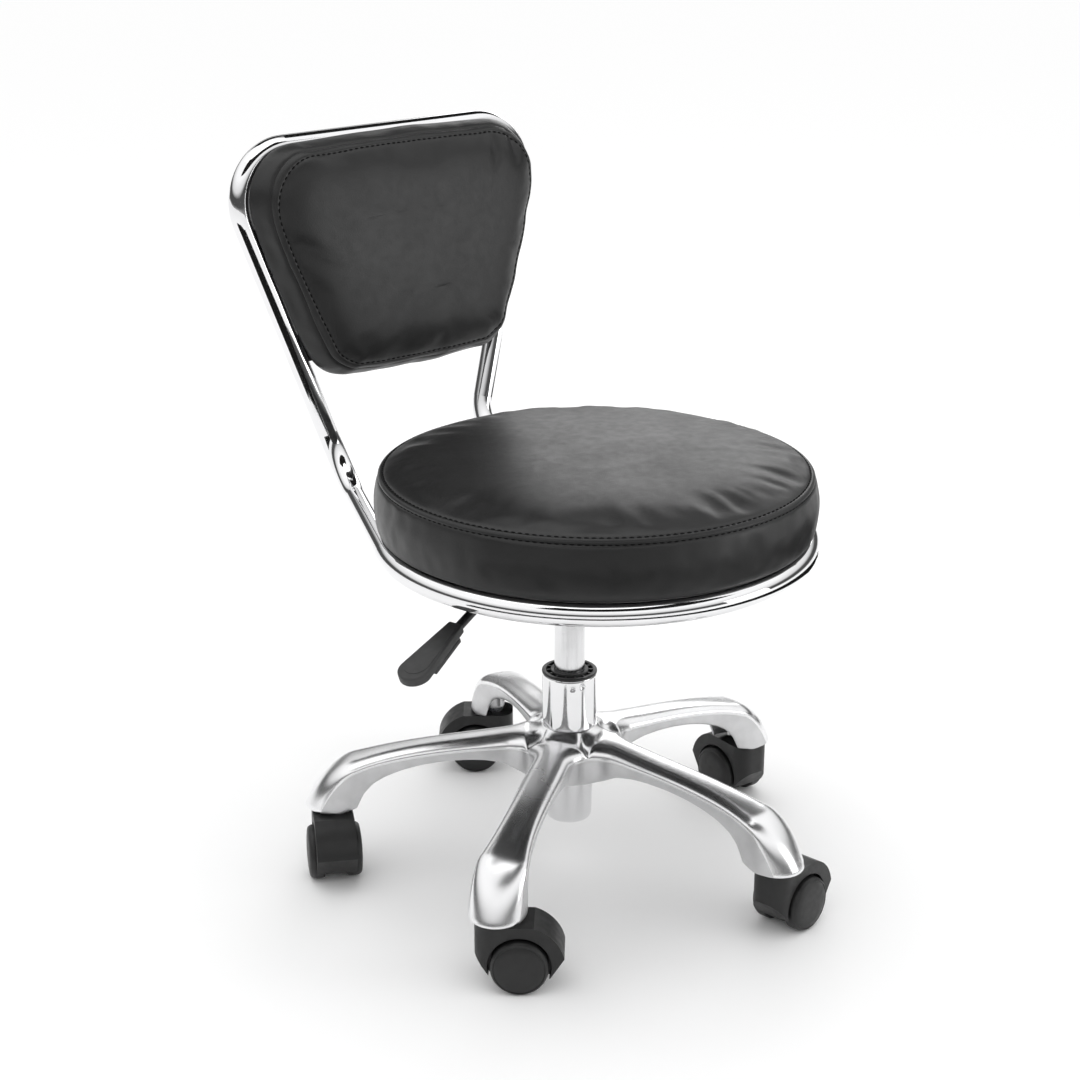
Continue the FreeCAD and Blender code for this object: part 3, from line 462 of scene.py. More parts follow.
def half_width_at(reach):
    """Half the polished top's width, following the rounded crotch near the hub."""
    tangent = (ARM_HALF + CROTCH_RADIUS) / math.tan(HALF_SECTOR)
    if reach >= tangent:
        return interpolate(ARM_STATIONS, reach, 1)
    inside = max(CROTCH_RADIUS ** 2 - (tangent - reach) ** 2, 0.0)
    return ARM_HALF + CROTCH_RADIUS - math.sqrt(inside)


def section_at(reach):
    """One half of the arm's cross-section at a distance from the axis, as (x, y, z)."""
    tangent = (ARM_HALF + CROTCH_RADIUS) / math.tan(HALF_SECTOR)
    half = half_width_at(reach)
    crest, edge, bottom = (interpolate(ARM_STATIONS, reach, column) for column in (2, 3, 4))
    points = [(reach, half * across, crest - (crest - edge) * fall) for across, fall in TOP_SHARES]
    if reach < tangent:
        centre = Vector((tangent, ARM_HALF + CROTCH_RADIUS))
        outwards = (Vector((reach, half)) - centre).normalized()
    else:
        outwards = Vector((0.0, -1.0))
    heights = (edge - SKIRT_OFFSETS[0][1], (edge + bottom) / 2, bottom)
    for (inset, _), height in zip(SKIRT_OFFSETS, heights):
        points.append((reach + outwards.x * inset, half + outwards.y * inset, height))
    return points


def nose_rows():
    """Rows from the last arm section round the nose to the cup's rim."""
    start = section_at(ARM_STATIONS[-1][0])
    rim_start = 213.0
    centre = STEM_CIRCLE - 1.0
    half_shares = len(start)
    # The rim's points, from the tip round to the side.
    rim = []
    for index in range(half_shares):
        turn = math.radians(90.0) * (index / (half_shares - 1)) ** 1.05
        rim.append((centre + CUP_RADIUS * math.cos(turn), CUP_RADIUS * math.sin(turn)))
    rim[-1] = (rim_start, CUP_RADIUS - 0.2)
    crest_path = [(197, 113.4), (204, 111.7), (210.5, 109.0), (218.5, 103.6), (228, 95.2), (236.8, 84.2),
                  (243.2, 73.0), (centre + CUP_RADIUS, RIM)]
    steps = 9
    rows = []
    for row in range(1, steps + 1):
        share = row / steps
        along = share * (len(crest_path) - 1)
        index = min(int(along), len(crest_path) - 2)
        rest = along - index
        crest_x = crest_path[index][0] * (1 - rest) + crest_path[index + 1][0] * rest
        crest_z = crest_path[index][1] * (1 - rest) + crest_path[index + 1][1] * rest
        foot_x = ARM_STATIONS[-1][0] + (rim_start - ARM_STATIONS[-1][0]) * share
        foot_y = start[-1][1] + (CUP_RADIUS - 0.2 - start[-1][1]) * math.sin(share * math.pi / 2)
        foot_z = start[-1][2] + (RIM - start[-1][2]) * share
        smooth = share * share * (3 - 2 * share)
        points = []
        for column in range(half_shares):
            section_across = start[column][1] / start[-1][1]
            section_rise = (start[column][2] - start[-1][2]) / (start[0][2] - start[-1][2])
            rim_across = rim[column][1] / (CUP_RADIUS - 0.2)
            rim_rise = (rim[column][0] - rim_start) / (rim[0][0] - rim_start)
            bulge = math.sin(math.pi * share) ** 2
            across = section_across * (1 - smooth) + rim_across * smooth
            rise = section_rise * (1 - smooth) + rim_rise * smooth
            if 0 < column < half_shares - 1:
                across = across + bulge * 0.06 * (1 - across)
            points.append((foot_x + (crest_x - foot_x) * rise, foot_y * across,
                           foot_z + (crest_z - foot_z) * rise))
        rows.append(points)
    return rows


def mirrored_row(half_row):
    """A full row from the right side's skirt over the crest to the left side's skirt."""
    right = [(x, -y, z) for x, y, z in reversed(half_row[1:])]
    return right + half_row


def star_base():
    """The five arms, their rounded crotches and the hub's flare as one skin."""
    sector = math.tan(HALF_SECTOR)
    crotch = ((ARM_HALF + CROTCH_RADIUS) / math.sin(HALF_SECTOR) - CROTCH_RADIUS) * math.cos(HALF_SECTOR)
    tangent = (ARM_HALF + CROTCH_RADIUS) / math.tan(HALF_SECTOR)
    near = [crotch + (tangent - crotch) * share for share in (0.0, 0.14, 0.32, 0.54, 0.78, 1.0)]
    far = [station[0] for station in ARM_STATIONS if station[0] > tangent + 4]
    rows = [mirrored_row(section_at(reach)) for reach in near + far]
    rows += [mirrored_row(row) for row in nose_rows()]
    top_count = len(TOP_SHARES)
    skirt = len(SKIRT_OFFSETS)
    hub_row = rows[0][skirt:-skirt]
    hub_row[0] = (crotch, -crotch * sector, hub_row[0][2])
    hub_row[-1] = (crotch, crotch * sector, hub_row[-1][2])
    collar_radius = 25.6
    collar_top = 146.5
    rings = []
    for share in (0.16, 0.34, 0.52, 0.69, 0.83, 0.93, 1.0):
        ring = []
        for x, y, z in hub_row:
            turn = math.atan2(y, x)
            collar = Vector((collar_radius * math.cos(turn), collar_radius * math.sin(turn)))
            spot = Vector((x, y)).lerp(collar, share)
            ring.append((spot.x, spot.y, z + (collar_top - z) * share ** 2.6))
        rings.append(ring)
    points = []
    faces = []
    kinds = []
    for arm in range(ARM_COUNT):
        turn = Matrix.Rotation(FIRST_ARM + arm * 2 * HALF_SECTOR, 3, "Z")
        starts = []
        for row in rows:
            starts.append(len(points))
            points += [tuple(turn @ Vector(point)) for point in row]
        columns = len(rows[0])
        for row in range(len(rows) - 1):
            for column in range(columns - 1):
                low = starts[row] + column
                high = starts[row + 1] + column
                faces.append((low, low + 1, high + 1, high))
                outer = min(column, columns - 2 - column)
                kinds.append(1 if outer < skirt - 1 else 0)
        previous = [starts[0] + skirt + index for index in range(2 * top_count - 1)]
        for ring in rings:
            first = len(points)
            points += [tuple(turn @ Vector(point)) for point in ring]
            current = [first + index for index in range(len(ring))]
            for index in range(len(ring) - 1):
                faces.append((previous[index], previous[index + 1], current[index + 1], current[index]))
                kinds.append(0)
            previous = current
    base = piece("star_base_casting", points, faces, [POLISHED, RAW, RAW], kinds)
    crease_edges(base)
    modifier(base, "SOLIDIFY", thickness=3.2 * MM, offset=-1.0, material_offset=1,
             use_even_offset=True, edge_crease_rim=0.55, edge_crease_inner=0.2)
    modifier(base, "SUBSURF", levels=2, render_levels=2)
    return applied(base)


def crease_edges(obj):
    """Keep the line between the polished top and the raw skirt crisp."""
    mesh = obj.data
    layer = mesh.attributes.new("crease_edge", "FLOAT", "EDGE")
    touching = {}
    for polygon in mesh.polygons:
        for key in polygon.edge_keys:
            touching.setdefault(key, set()).add(polygon.material_index)
    for edge in mesh.edges:
        kinds = touching.get(tuple(sorted(edge.vertices)), set())
        layer.data[edge.index].value = 0.5 if len(kinds) == 2 else 0.0


def hub_underside():
    """The hub's inner sleeve seen from below, with its ribs."""
    sleeve = lathe("hub_sleeve", rounded(
        [(25.4, 140), (25.4, 98), (31.5, 98), (33.5, 126), (33.5, 134)], [0.8, 2.0, 3.0]), RAW)
    ribs = []
    for arm in range(ARM_COUNT):
        turn = FIRST_ARM + arm * 2 * HALF_SECTOR
        ribs.append(rib((32.0, 60.0), (104.0, 106.0), (132.0, 130.0), 1.6, turn))
    return joined("hub_underside", [sleeve] + ribs)


def rib(reach, low, high, half, turn):
    """A thin tapered wall standing out from the stool's axis."""
    corners = []
    for distance, bottom, top in zip(reach, low, high):
        for side in (-half, half):
            for height in (bottom, top):
                point = Vector((distance, side, height))
                corners.append(tuple(Matrix.Rotation(turn, 3, "Z") @ point))
    faces = [(0, 1, 3, 2), (4, 6, 7, 5), (0, 4, 5, 1), (2, 3, 7, 6), (0, 2, 6, 4), (1, 5, 7, 3)]
    return piece("rib", corners, faces, [RAW], sharp=30)


def stem_bosses():
    """The socket that holds each caster's stem, with its ribs inside the hollow arm."""
    parts = []
    for arm in range(ARM_COUNT):
        turn = FIRST_ARM + arm * 2 * HALF_SECTOR
        place = Matrix.Translation(
            (STEM_CIRCLE * math.cos(turn), STEM_CIRCLE * math.sin(turn), 0.0))
        parts.append(lathe("boss", rounded(
            [(5.6, 82), (5.6, 66.5), (10.0, 66.5), (10.4, 81)], [0.6, 0.6]), RAW, place, 40))
        parts.append(rib((STEM_CIRCLE - 22, STEM_CIRCLE - 9), (74, 70), (106, 100), 1.3, turn))
    return joined("stem_bosses", parts)


base_casting = star_base()
finished(base_casting, "base", "base_casting", "star_base")
finished(hub_underside(), "base", "base_casting")
finished(stem_bosses(), "base", "base_casting")


# ---------------------------------------------------------------- gas lift

LIFT_TOP = 196.0
LIFT_OUTER = 25.0
LIFT_INNER = 23.2
PLATE_BOTTOM = 50.0
# Direction and height of the two crimp marks.
CRIMPS = [(math.radians(-124), 188.4), (math.radians(-103), 189.4)]
CRIMP_DEPTH = 1.5
CRIMP_REACH = 1.5


def lift_tube():
    """The chromed outer tube, with the pair of crimp dimples near its top."""
    profile = [(6.0, PLATE_BOTTOM + 3.0), (6.0, PLATE_BOTTOM), (18.6, PLATE_BOTTOM), (20.2, 51.0),
               (21.2, 53.0), (21.45, 60.0), (22.4, 98.0)]
    profile += [(LIFT_OUTER, height) for height in (142.0, 160.0, 178.0)]
    profile += [(LIFT_OUTER, 182.0 + step) for step in range(12)]
    profile += [(LIFT_OUTER, 194.6), (24.8, 195.6), (24.2, LIFT_TOP), (LIFT_INNER, LIFT_TOP),
                (LIFT_INNER, 150.0)]
    tube = lathe("lift_outer_tube", profile, CHROME_LIFT, segments=180, sharp=50)
    for vert in tube.data.vertices:
        spot = vert.co / MM
        reach = math.hypot(spot.x, spot.y)
        if reach < LIFT_INNER + 0.5 or spot.z < 142.0:
            continue
        turn = math.atan2(spot.y, spot.x)
        depth = 0.0
        for angle, middle in CRIMPS:
            away = math.atan2(math.sin(turn - angle), math.cos(turn - angle)) * reach
            depth += CRIMP_DEPTH * math.exp(-(math.hypot(away, spot.z - middle) / CRIMP_REACH) ** 2)
        share = 1.0 - depth / reach
        vert.co.x *= share
        vert.co.y *= share
    finish_shading(tube.data, 50)
    return tube


def lift_bushing():
    """The black guide ring in the tube's mouth: two rims with small ribs between them."""
    outer = lathe("outer_rim", rounded(
        [(21.6, 194), (21.6, 198.4), (25.4, 198.4), (25.4, 196.1), (23.3, 196.1), (23.3, 190)],
        [0.5, 0.9, 0.5, 0.2]), BUSHING, segments=96)
    inner = lathe("inner_rim", rounded(
        [(14.06, 150), (14.06, 199.0), (17.4, 199.0), (18.6, 194.0)], [0.5, 0.8]), BUSHING, segments=96)
    deck = lathe("deck", [(17.8, 195.6), (22.6, 195.6)], BUSHING, segments=96)
    parts = [outer, inner, deck]
    ribs = 14
    for index in range(ribs):
        turn = 2 * math.pi * (index + 0.5) / ribs
        part = rib((17.2, 22.4), (195.0, 195.0), (198.2, 197.9), 0.7, turn)
        part.data.materials[0] = BUSHING
        parts.append(part)
    return joined("lift_guide_bushing", parts)


finished(lift_tube(), "base", "lift_chrome", "gas_lift_outer_tube")
finished(lift_bushing(), "base", "black_plastic", "guide_bushing")


# ---------------------------------------------------------------- casters

WHEEL_RADIUS = 25.0
AXLE_HEIGHT = 25.0
TRAIL = 20.0


def caster_wheel(name, place, side):
    """A twin wheel: rounded tread, a fine rim line and a slightly domed disc."""
    inner = 10.5
    outer = inner + 15.0
    profile = rounded([
        (4.05, inner), (9.0, inner), (10.0, inner + 5), (20.0, inner + 5), (21.0, inner + 0.2),
        (24.2, inner + 0.2), (WHEEL_RADIUS, inner + 1.4), (WHEEL_RADIUS, outer - 5.0),
        (23.6, outer - 2.4), (22.3, outer - 1.5),
    ], [0.3, 0.5, 0.8, 0.8, 0.5, 0.8, 3.0, 1.2])
    profile += [(22.0, outer - 1.9), (21.5, outer - 1.75), (20.6, outer - 1.15), (16.0, outer - 0.55),
                (9.0, outer - 0.1), (0.0, outer)]
    flip = 1 if side == "a" else -1
    profile = [(radius, flip * height) for radius, height in profile]
    profile += [(0.0, flip * (outer - 3.0)), (4.05, flip * (outer - 3.0))]
    return lathe(name, profile, NYLON, place, segments=80, sharp=45, loop=True)


def casters():
    """A disc for each of the ten wheels, placed from the joints of its caster."""
    for name in ("right_rear", "left_rear", "left", "front", "right"):
        body = "caster_" + name
        stem = Vector(JOINTS[body + "_swivel"]["pos_m"]) / MM
        axis = Vector(JOINTS[body + "_wheel_a_spin"]["axis"])
        trail = math.atan2(-axis.x, axis.y)
        place = Matrix.Translation((stem.x, stem.y, 0.0)) @ Matrix.Rotation(trail, 4, "Z")
        across = Matrix.Translation((TRAIL, 0.0, AXLE_HEIGHT)) @ Matrix.Rotation(-math.pi / 2, 4, "X")
        for side in "ab":
            wheel = caster_wheel(body + "_disc_" + side, place @ across, side)
            finished(wheel, body + "_wheel_" + side, "caster_nylon", body + "_wheel_" + side)


casters()


# ---------------------------------------------------------------- cushions

SEAT_CENTRE = Vector((0.0, -34.0, 0.0))
BACK_LEAN = math.atan(0.1156)
BACK_FOOT = Vector((0.0, 235.4, 338.0))


def trapezoid_outline(low, high, low_half, high_half, low_corner, high_corner, side_steps, arc_steps):
    """Outline function of a rounded trapezoid with slightly bowed sides."""
    bow = 2.5

    def outline(inset):
        corners = [Vector((low_half - inset, low + inset)), Vector((high_half - inset, high - inset)),
                   Vector((-high_half + inset, high - inset)), Vector((-low_half + inset, low + inset))]
        corner_radii = (low_corner, high_corner, high_corner, low_corner)
        radii = [max(radius - inset * 0.45, 8.0) for radius in corner_radii]
        arcs = []
        for index, corner in enumerate(corners):
            before = (corners[index - 1] - corner).normalized()
            after = (corners[(index + 1) % 4] - corner).normalized()
            half_turn = (math.pi - before.angle(after)) / 2
            setback = radii[index] * math.tan(half_turn)
            centre = corner + (before + after).normalized() * radii[index] / math.cos(half_turn)
            start = corner + before * setback - centre
            end = corner + after * setback - centre
            first = math.atan2(start.y, start.x)
            sweep = (math.atan2(end.y, end.x) - first) % (2 * math.pi)
            arcs.append([centre + radii[index] * Vector((math.cos(first + sweep * s / arc_steps),
                                                         math.sin(first + sweep * s / arc_steps)))
                         for s in range(arc_steps + 1)])
        points = []
        for index in range(4):
            points += arcs[index][:-1]
            start = arcs[index][-1]
            end = arcs[(index + 1) % 4][0]
            normal = Vector(((end - start).y, -(end - start).x)).normalized()
            for step in range(side_steps):
                share = step / side_steps
                points.append(start.lerp(end, share) + normal * bow * math.sin(math.pi * share))
        return points
    return outline


def centre_patch(ring, middle_height, first):
    """Fill a closed ring of 4N points with an N by N grid; returns its points and faces."""
    side = len(ring) // 4
    low = ring[0:side + 1]
    right = ring[side:2 * side + 1]
    high = list(reversed(ring[2 * side:3 * side + 1]))
    left = list(reversed(ring[3 * side:] + ring[:1]))
    points = []
    number = {}
    for row in range(side + 1):
        for column in range(side + 1):
            if row == 0:
                number[row, column] = column
            elif row == side:
                number[row, column] = 3 * side - column
            elif column == side:
                number[row, column] = side + row
            elif column == 0:
                number[row, column] = 4 * side - row
            else:
                u = column / side
                v = row / side
                spot = (low[column] * (1 - v) + high[column] * v + left[row] * (1 - u) + right[row] * u
                        - low[0] * (1 - u) * (1 - v) - low[side] * u * (1 - v)
                        - high[0] * (1 - u) * v - high[side] * u * v)
                swell = 16 * u * (1 - u) * v * (1 - v)
                spot.z += (middle_height - spot.z) * swell * (2 - swell)
                number[row, column] = len(ring) + len(points)
                points.append(spot)
    faces = []
    for row in range(side):
        for column in range(side):
            corners = ((row, column), (row, column + 1), (row + 1, column + 1), (row + 1, column))
            faces.append([first + number[corner] for corner in corners])
    return points, faces


def pad_mesh(name, rings, top_height, bottom_height, place, material):
    """A closed pad through its rings, with a square grid in the middle of each face."""
    count = len(rings[0])
    top, faces = centre_patch(rings[0], top_height, 0)
    points = list(rings[0]) + top
    starts = [0]
    for ring in rings[1:]:
        starts.append(len(points))
        points += ring
    for low, high in zip(starts, starts[1:]):
        for index in range(count):
            following = (index + 1) % count
            faces.append((low + index, high + index, high + following, low + following))
    bottom, more = centre_patch(rings[-1], bottom_height, starts[-1])
    points += bottom
    faces += more
    world = [tuple(place @ point) for point in points]
    made = piece(name, world, faces, [material])
    relax(made, range(count, count + len(top)))
    relax(made, range(len(points) - len(bottom), len(points)))
    made["ring_starts"] = starts
    return made


def relax(pad, numbers, rounds=60):
    """Even out the middle grid of a pad's face, so that its corners don't fold over."""
    work = bmesh.new()
    work.from_mesh(pad.data)
    work.verts.ensure_lookup_table()
    chosen = [work.verts[number] for number in numbers]
    for _ in range(rounds):
        bmesh.ops.smooth_vert(work, verts=chosen, factor=0.5, use_axis_x=True, use_axis_y=True,
                              use_axis_z=True)
    work.to_mesh(pad.data)
    work.free()
    pad.data.update()


CLOTH_FRAMES = 20


def cloth_offsets(pad, voxel, cap, pinned, pressure=4.0, slack=0.03):
    """Blow the pad up as cloth and return rest points with how far each one moved, in metres."""
    work = bpy.data.objects.new("cloth_work", pad.data.copy())
    bpy.context.scene.collection.objects.link(work)
    modifier(work, "REMESH", mode="VOXEL", voxel_size=voxel * MM, use_smooth_shade=True)
    applied(work)
    rest = np.array([vert.co for vert in work.data.vertices])
    group = work.vertex_groups.new(name="pin")
    for index, spot in enumerate(rest):
        weight = pinned(Vector(spot) / MM)
        if weight > 0:
            group.add([index], weight, "REPLACE")
    cloth = work.modifiers.new("cloth", "CLOTH")
    settings = cloth.settings
    settings.quality = 5
    settings.mass = 0.4
    settings.tension_stiffness = 25
    settings.compression_stiffness = 25
    settings.shear_stiffness = 12
    settings.bending_stiffness = 0.6
    settings.use_pressure = True
    settings.uniform_pressure_force = pressure
    settings.shrink_min = -slack
    settings.vertex_group_mass = "pin"
    settings.effector_weights.gravity = 0.0
    cloth.collision_settings.use_collision = False
    cloth.point_cache.frame_start = 1
    cloth.point_cache.frame_end = CLOTH_FRAMES
    scene = bpy.context.scene
    for number in range(1, CLOTH_FRAMES + 1):
        scene.frame_set(number)
    graph = bpy.context.evaluated_depsgraph_get()
    shaped = work.evaluated_get(graph).to_mesh()
    after = np.array([vert.co for vert in shaped.vertices])
    scene.frame_set(1)
    bpy.data.objects.remove(work)
    offsets = after - rest
    lengths = np.linalg.norm(offsets, axis=1, keepdims=True)
    offsets *= np.minimum(1.0, cap * MM / np.maximum(lengths, 1e-9))
    return rest, offsets


def carry_offsets(pad, rest, offsets, keep):
    """Move the fine pad by the cloth's offsets, read from the nearest cloth points."""
    tree = kdtree.KDTree(len(rest))
    for index, spot in enumerate(rest):
        tree.insert(spot, index)
    tree.balance()
    for vert in pad.data.vertices:
        found = tree.find_n(vert.co, 8)
        weights = np.array([1.0 / (distance + 0.0008) ** 2 for _, _, distance in found])
        moves = np.array([offsets[index] for _, index, _ in found])
        move = (moves * weights[:, None]).sum(axis=0) / weights.sum()
        vert.co += Vector(move) * keep(vert.co / MM)
    pad.data.update()


def stitches(name, path, length=4.4, gap=1.6, width=1.5, lift=0.45):
    """A row of thread stitches along a closed path of (point, normal) pairs."""
    spots = [point for point, _ in path]
    lengths = [0.0]
    for first, second in zip(spots, spots[1:] + spots[:1]):
        lengths.append(lengths[-1] + (second - first).length)
    total = lengths[-1]
    number = int(total / (length + gap))
    sides = 6
    points = []
    faces = []

    def at(distance):
        distance = distance % total
        index = int(np.searchsorted(lengths, distance, side="right")) - 1
        index = min(index, len(spots) - 1)
        rest = (distance - lengths[index]) / max(lengths[index + 1] - lengths[index], 1e-9)
        following = (index + 1) % len(spots)
        return (spots[index].lerp(spots[following], rest),
                path[index][1].lerp(path[following][1], rest).normalized())

    for stitch in range(number):
        begin = total * stitch / number
        rings = []
        for share, size, sink in ((0.0, 0.45, 0.75), (0.12, 0.85, 0.30), (0.5, 1.0, 0.0),
                                  (0.88, 0.85, 0.30), (1.0, 0.45, 0.75)):
            spot, normal = at(begin + share * length)
            ahead, _ = at(begin + share * length + 0.4)
            along = (ahead - spot).normalized()
            side = along.cross(normal).normalized()
            middle = spot + normal * (lift - sink * width * 0.7)
            ring = []
            for corner in range(sides):
                turn = 2 * math.pi * corner / sides
                ring.append(len(points))
                points.append(tuple(middle + (side * math.cos(turn) + normal * math.sin(turn) * 0.8)
                                    * width * size / 2))
            rings.append(ring)
        for low, high in zip(rings, rings[1:]):
            for corner in range(sides):
                following = (corner + 1) % sides
                faces.append((low[corner], low[following], high[following], high[corner]))
        faces.append(tuple(reversed(rings[0])))
        faces.append(tuple(rings[-1]))
    return piece(name, points, faces, [THREAD])


def ring_path(pad, ring_index, count):
    """The (point, normal) pairs of one of the pad's rings, in millimetres."""
    vertices = pad.data.vertices
    first = pad["ring_starts"][ring_index]
    return [(vertices[first + i].co / MM, vertices[first + i].normal.copy()) for i in range(count)]


def waves(angle, seed, count, low, high):
    """A smooth repeatable wave round a closed ring, between about -1 and 1."""
    source = random.Random(seed)
    total = 0.0
    for _ in range(count):
        total += math.sin(angle * source.randint(low, high) + source.uniform(0, 2 * math.pi))
    return total / math.sqrt(count) / 1.4


SEAT_SEGMENTS = 288
SEAT_RADIUS = 193.4
SEAT_SEAM = 398.0
# Radius and height: crown, upper stitch line, raised band, lower seam, side, hem.
SEAT_PROFILE = [
    (52.0, 415.9), (66.0, 415.6), (80.0, 415.2), (94.0, 414.7), (108.0, 414.1), (121.0, 413.4),
    (133.0, 412.6), (144.0, 411.7), (153.0, 410.8), (161.0, 409.8), (167.5, 408.9), (173.0, 408.0),
    (177.5, 407.0), (181.0, 405.9), (183.6, 404.8), (185.1, 403.9), (185.9, 403.2), (186.5, 402.8),
    (187.1, 402.85), (187.7, 403.0), (188.6, 402.9), (189.7, 402.1), (190.6, 401.0), (191.0, 399.9),
    (190.6, 398.9), (189.9, 398.4), (190.6, 397.8), (191.6, 396.8), (192.3, 394.6), (192.8, 391.0),
    (193.2, 386.0), (193.4, 380.0), (193.4, 373.0), (193.2, 366.0), (193.0, 359.5), (192.5, 354.0),
    (191.3, 350.6), (189.4, 348.9), (186.0, 348.3), (178.0, 348.2), (150.0, 348.2), (110.0, 348.2),
]
SEAT_STITCH_RING = 17
SEAT_SEAM_RING = 25


def seat_cushion():
    """The round seat: crowned top panel, raised band between two rows of stitches, boxed side."""
    place = Matrix.Translation(SEAT_CENTRE)
    rings = []
    for radius, height in SEAT_PROFILE:
        ring = []
        for index in range(SEAT_SEGMENTS):
            turn = 2 * math.pi * index / SEAT_SEGMENTS
            point = Vector((radius * math.cos(turn), radius * math.sin(turn), height))
            pucker_seat(point, turn)
            ring.append(point)
        rings.append(ring)
    top = sum(point.z for point in rings[0]) / SEAT_SEGMENTS + 0.15
    pad = pad_mesh("seat_upholstery", rings, top, 348.2, place, VINYL)
    def pinned(spot):
        reach = math.hypot(spot.x, spot.y - SEAT_CENTRE.y)
        seam = max(0.0, 1.0 - abs(spot.z - SEAT_SEAM) / 3.0) if reach > 184 else 0.0
        return 1.0 if spot.z < 352 else seam

    rest, offsets = cloth_offsets(pad, 5.0, 5.0, pinned)
    carry_offsets(pad, rest, offsets, seat_softness)
    stitch_path = ring_path(pad, SEAT_STITCH_RING, SEAT_SEGMENTS)
    seam_path = ring_path(pad, SEAT_SEAM_RING, SEAT_SEGMENTS)
    modifier(pad, "SUBSURF", levels=1, render_levels=1)
    applied(pad)
    finished(pad, "seat", "upholstery", "seat_cushion")
    rows = joined("seat_stitches", [stitches("upper_row", stitch_path), stitches("seam_row", seam_path)])
    finish_shading(rows.data, 60)
    finished(rows, "seat", "upholstery")


def pucker_seat(point, angle):
    """Gathers that fan in from the upper stitches, deepest at the sitter's left, and a slack side."""
    reach = math.hypot(point.x, point.y)
    side = max(0.0, math.cos(angle - math.radians(-22)))
    above = (reach < 186.0) and point.z > 390.0
    if above:
        from_seam = 186.0 - reach
        fade = math.exp(-from_seam / 24.0) * min(1.0, from_seam / 5.0)
        point.z += (0.2 + 3.0 * side ** 7) * fade * waves(angle, 11, 5, 24, 38)
        point.z += 0.5 * math.exp(-(from_seam - 60) ** 2 / 3000.0) * waves(angle, 3, 3, 2, 6)
    elif 352.0 < point.z < 397.0:
        below = (397.0 - point.z) / 11.0
        fade = math.exp(-below) * min(1.0, below * 4)
        grow = 1.0 + (0.3 * fade * waves(angle, 5, 4, 26, 55) + 0.45 * waves(angle, 8, 3, 2, 7)) / reach
        point.x *= grow
        point.y *= grow
    lift = min(1.0, max(0.0, (point.z - 355.0) / 40.0))
    away = (point.x * 0.65 + point.y * 0.76) / SEAT_RADIUS
    point.z -= lift * 1.5 * (1.0 + away)


def seat_softness(spot):
    """How much of the cloth's movement the seat takes: none at the seam and the underside."""
    reach = math.hypot(spot.x, spot.y - SEAT_CENTRE.y)
    if spot.z < 353:
        return 0.0
    near_seam = math.hypot(max(0.0, 186.0 - reach), spot.z - SEAT_SEAM - 2.0)
    return 0.55 * min(1.0, max(0.0, near_seam - 5.0) / 14.0)


BACK_SIDE_STEPS = 34
BACK_ARC_STEPS = 22
BACK_SEGMENTS = 4 * (BACK_SIDE_STEPS + BACK_ARC_STEPS)
BACK_CENTRE = Vector((0.0, 218.0))
BACK_MIDDLE = 48.0
# Inset from the widest outline and distance in front of the tube's plane: the face from its middle
# outwards, the inner stitch line, the band, the seam, the border, and the back.
BACK_PROFILE = [
    (72.0, 47.8), (62.0, 47.5), (53.0, 47.1), (45.0, 46.6), (38.0, 46.0), (32.0, 45.3), (27.0, 44.5),
    (23.0, 43.6), (19.5, 42.5), (16.3, 41.3), (13.8, 40.1), (11.9, 38.9), (10.9, 37.7), (10.2, 38.0),
    (9.3, 38.0), (8.1, 37.2), (7.0, 36.1), (6.2, 35.0), (5.8, 34.0), (6.1, 33.2), (6.6, 32.6),
    (5.3, 32.1), (3.9, 31.0), (2.6, 28.6), (1.2, 25.2), (-0.4, 21.4), (-2.2, 17.4), (-3.6, 14.2),
    (-3.6, 12.2), (-1.5, 11.0), (3.0, 10.6), (16.0, 10.5), (40.0, 10.5), (72.0, 10.5),
]
BACK_MEAN_HALF_WIDTH = 150.0
BACK_STITCH_RING = 12


def back_place():
    """From the backrest's own coordinates (across, up the plane, forwards) to the stool's."""
    lean = Matrix.Rotation(-BACK_LEAN, 4, "X")
    axes = Matrix(((1, 0, 0, 0), (0, 0, -1, 0), (0, 1, 0, 0), (0, 0, 0, 1)))
    return Matrix.Translation(BACK_FOOT) @ lean @ axes


def back_cushion():
    """The backrest: a padded front panel in a rounded border, with a seam and a stitch line."""
    outline = trapezoid_outline(104.0, 321.0, 103.0, 178.0, 38.0, 52.0, BACK_SIDE_STEPS, BACK_ARC_STEPS)
    place = back_place()
    inverse = place.inverted()
    rings = []
    for inset, height in BACK_PROFILE:
        widened = 1.0 + max(0.0, -inset) / BACK_MEAN_HALF_WIDTH
        ring = [Vector((spot.x * widened, spot.y, height)) for spot in outline(max(inset, 0.0))]
        for point in ring:
            pucker_back(point)
        rings.append(ring)
    pad = pad_mesh("back_upholstery", rings, BACK_MIDDLE, 10.5, place, VINYL)
    def pinned(spot):
        local = inverse @ spot
        return 1.0 if local.z < 13.5 else 0.0

    rest, offsets = cloth_offsets(pad, 4.5, 5.0, pinned)
    carry_offsets(pad, rest, offsets, lambda spot: back_softness(inverse @ spot))
    stitch_path = ring_path(pad, BACK_STITCH_RING, BACK_SEGMENTS)
    modifier(pad, "SUBSURF", levels=1, render_levels=1)
    applied(pad)
    finished(pad, "seat", "upholstery", "back_cushion")
    row = stitches("back_stitches", stitch_path)
    finished(row, "seat", "upholstery")


